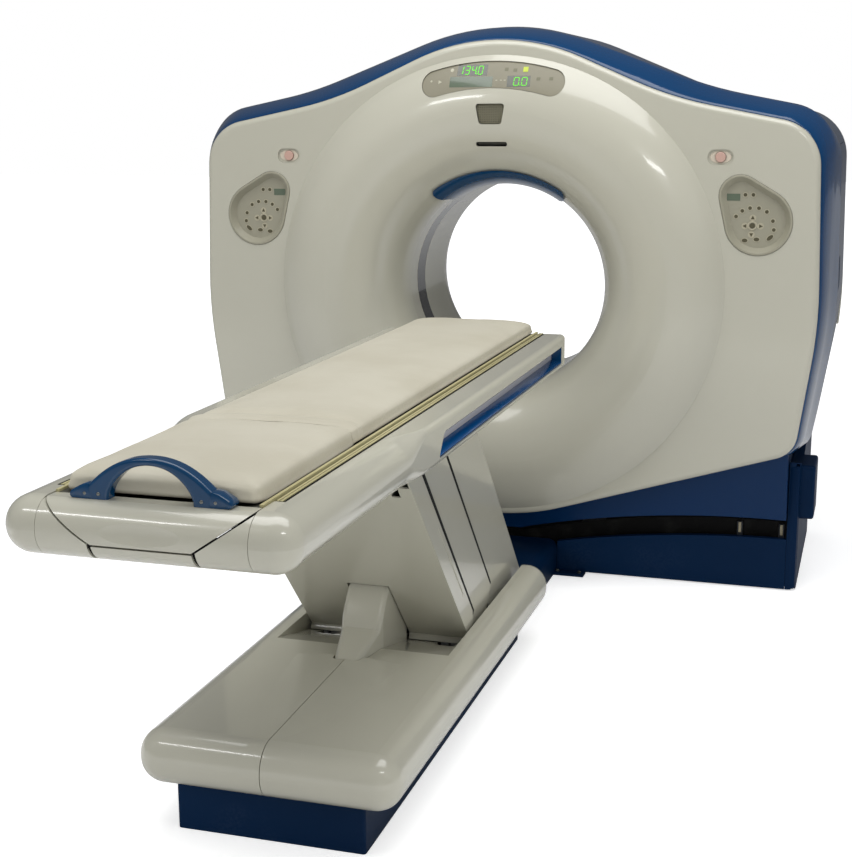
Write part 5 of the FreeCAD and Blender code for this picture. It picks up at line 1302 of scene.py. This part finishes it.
@dataclass
class Studio:
    """The floor, the white surround, the soft lamps and the camera."""

    eye: Place = (1.2486, -5.1112, 1.6115)
    azimuth: float = 17.22
    elevation: float = 12.14
    roll: float = -0.31
    lens: float = 61.88

    ROOM = (0.97, 0.98, 1.0, 1)
    ROOM_LIGHT, MIRROR_LOSS = 0.38, 0.24
    # Each soft box: its name, place, target, width and height, watts, and whether glossy surfaces
    # show it and matt surfaces are lit by it.
    LAMPS = (
        ("ceiling", (0.3, -1.6, 4.6), (0, -0.9, 0.6), (4.5, 3.0), 135.0, True, True),
        ("left", (-4.5, -4.5, 2.8), (0, -0.8, 0.9), (2.5, 2.5), 60.0, False, True),
        ("right", (4.8, -3.6, 3.0), (0.2, -0.6, 0.9), (2.0, 2.5), 52.0, False, True),
        ("low", (1.6, -5.6, 0.7), (0.0, -1.4, 0.35), (2.4, 0.8), 18.0, False, True),
        ("left_tube", (-1.7, -4.3, 3.3), (0, -1.0, 0.9), (0.9, 0.22), 9.0, True, False),
        ("right_tube", (2.3, -3.9, 3.1), (0, -1.0, 0.9), (0.9, 0.22), 9.0, True, False),
    )

    def camera(self) -> None:
        """Sets the camera at the photograph's viewpoint."""
        az, el, roll = (math.radians(a) for a in (self.azimuth, self.elevation, self.roll))
        ahead = Vector((-math.sin(az) * math.cos(el), math.cos(az) * math.cos(el), -math.sin(el)))
        right = Vector((math.cos(az), math.sin(az), 0.0))
        up = right.cross(ahead)
        side = right * math.cos(roll) + up * math.sin(roll)
        top = up * math.cos(roll) - right * math.sin(roll)
        lens = bpy.data.cameras.new("camera")
        lens.sensor_fit = "VERTICAL"
        lens.sensor_height = 36.0
        lens.lens = self.lens
        lens.clip_end = 100.0
        made = bpy.data.objects.new("camera", lens)
        turn = Matrix((side, top, -ahead)).transposed().to_4x4()
        made.matrix_world = Matrix.Translation(Vector(self.eye)) @ turn
        bpy.context.scene.collection.objects.link(made)
        bpy.context.scene.camera = made

    def floor(self) -> None:
        """Lays a pale floor that keeps the object's shadow."""
        bm = bmesh.new()
        bmesh.ops.create_grid(bm, x_segments=2, y_segments=2, size=30.0)
        bmesh.ops.translate(bm, verts=bm.verts, vec=(0, 0, -0.0005))
        made = mesh_object("floor", bm, smooth=False)
        material = bpy.data.materials.new("floor_white")
        shader = Shader(material)
        matt = shader.output("ShaderNodeBsdfDiffuse", {}, {"Color": (0.9, 0.9, 0.9, 1)}, "BSDF")
        away = shader.output("ShaderNodeVectorMath", {"operation": "LENGTH"}, {0: shader.place}, "Value")
        far = away.step(2.6, 5.0) * 0.45 + 0.55
        glow = shader.output("ShaderNodeEmission", {}, {"Color": WHITE, "Strength": far}, "Emission")
        both = shader.output("ShaderNodeAddShader", {}, {0: matt, 1: glow}, 0)
        shader.node("ShaderNodeOutputMaterial", {}, {"Surface": self.for_camera(shader, matt, both)})
        made.data.materials.append(material)

    def surround(self) -> None:
        """Sets an even grey room light, weaker in reflections, that the camera sees as white."""
        world = bpy.data.worlds.new("room")
        bpy.context.scene.world = world
        shader = Shader(world)
        mirrored = shader.output("ShaderNodeLightPath", {}, {}, "Is Glossy Ray")
        strength = mirrored * -self.MIRROR_LOSS + self.ROOM_LIGHT
        lit = shader.output("ShaderNodeBackground", {}, {"Color": self.ROOM, "Strength": strength}, 0)
        seen = shader.output("ShaderNodeBackground", {}, {"Color": WHITE, "Strength": 1.0}, 0)
        shader.node("ShaderNodeOutputWorld", {}, {"Surface": self.for_camera(shader, lit, seen)})

    @staticmethod
    def for_camera(shader: Shader, others: Term, camera: Term) -> Term:
        """A surface that the camera sees one way and every other ray the other way."""
        seen = shader.output("ShaderNodeLightPath", {}, {}, "Is Camera Ray")
        return shader.output("ShaderNodeMixShader", {}, {0: seen, 1: others, 2: camera}, 0)

    @staticmethod
    def lamp(name: str, place: Place, target: Place, size: Flat, power: float, mirrored: bool,
             lighting: bool) -> None:
        """Hangs one soft box.

        Args:
            name: the lamp's name.
            place: where it hangs.
            target: what it points at.
            size: its width and height.
            power: its power in watts.
            mirrored: whether glossy surfaces show it.
            lighting: whether matt surfaces are lit by it.
        """
        data = bpy.data.lights.new(name, "AREA")
        data.shape = "RECTANGLE"
        data.size, data.size_y = size
        data.energy = power
        made = bpy.data.objects.new(name, data)
        made.visible_glossy = mirrored
        made.visible_diffuse = lighting
        turn = (Vector(target) - Vector(place)).normalized().to_track_quat("-Z", "Y")
        made.matrix_world = Matrix.Translation(Vector(place)) @ turn.to_matrix().to_4x4()
        bpy.context.scene.collection.objects.link(made)

    def build(self) -> None:
        """Builds the stage."""
        self.camera()
        self.floor()
        self.surround()
        for lamp in self.LAMPS:
            self.lamp(*lamp)
        bpy.context.scene.view_settings.view_transform = "Standard"


def main() -> None:
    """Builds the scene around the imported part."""
    logging.basicConfig(level=logging.INFO, format="%(message)s")
    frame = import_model()
    slots = {part["node"]: part["material_slot"] for part in frame["record"]["subparts"]}
    shop = Workshop(frame["nodes"], slots)
    for name, node in shop.nodes.items():
        finish = NODE_FINISH.get(name, slots[name])
        shop.coat(node, finish)
        LOG.info("%s finished as %s", name, finish)
    for part in (Studio(), Readout(shop), BaseShadeSheet(shop), TrimBow(shop)):
        part.build()
    for side in Side:
        for kind in (ControlKeys, StopSurround, GripShade, RailDress, LegSeamShades, BaseDress, EndDress):
            kind(shop, side).build()
    Mattress(shop).build()


if __name__ == "__main__":
    main()
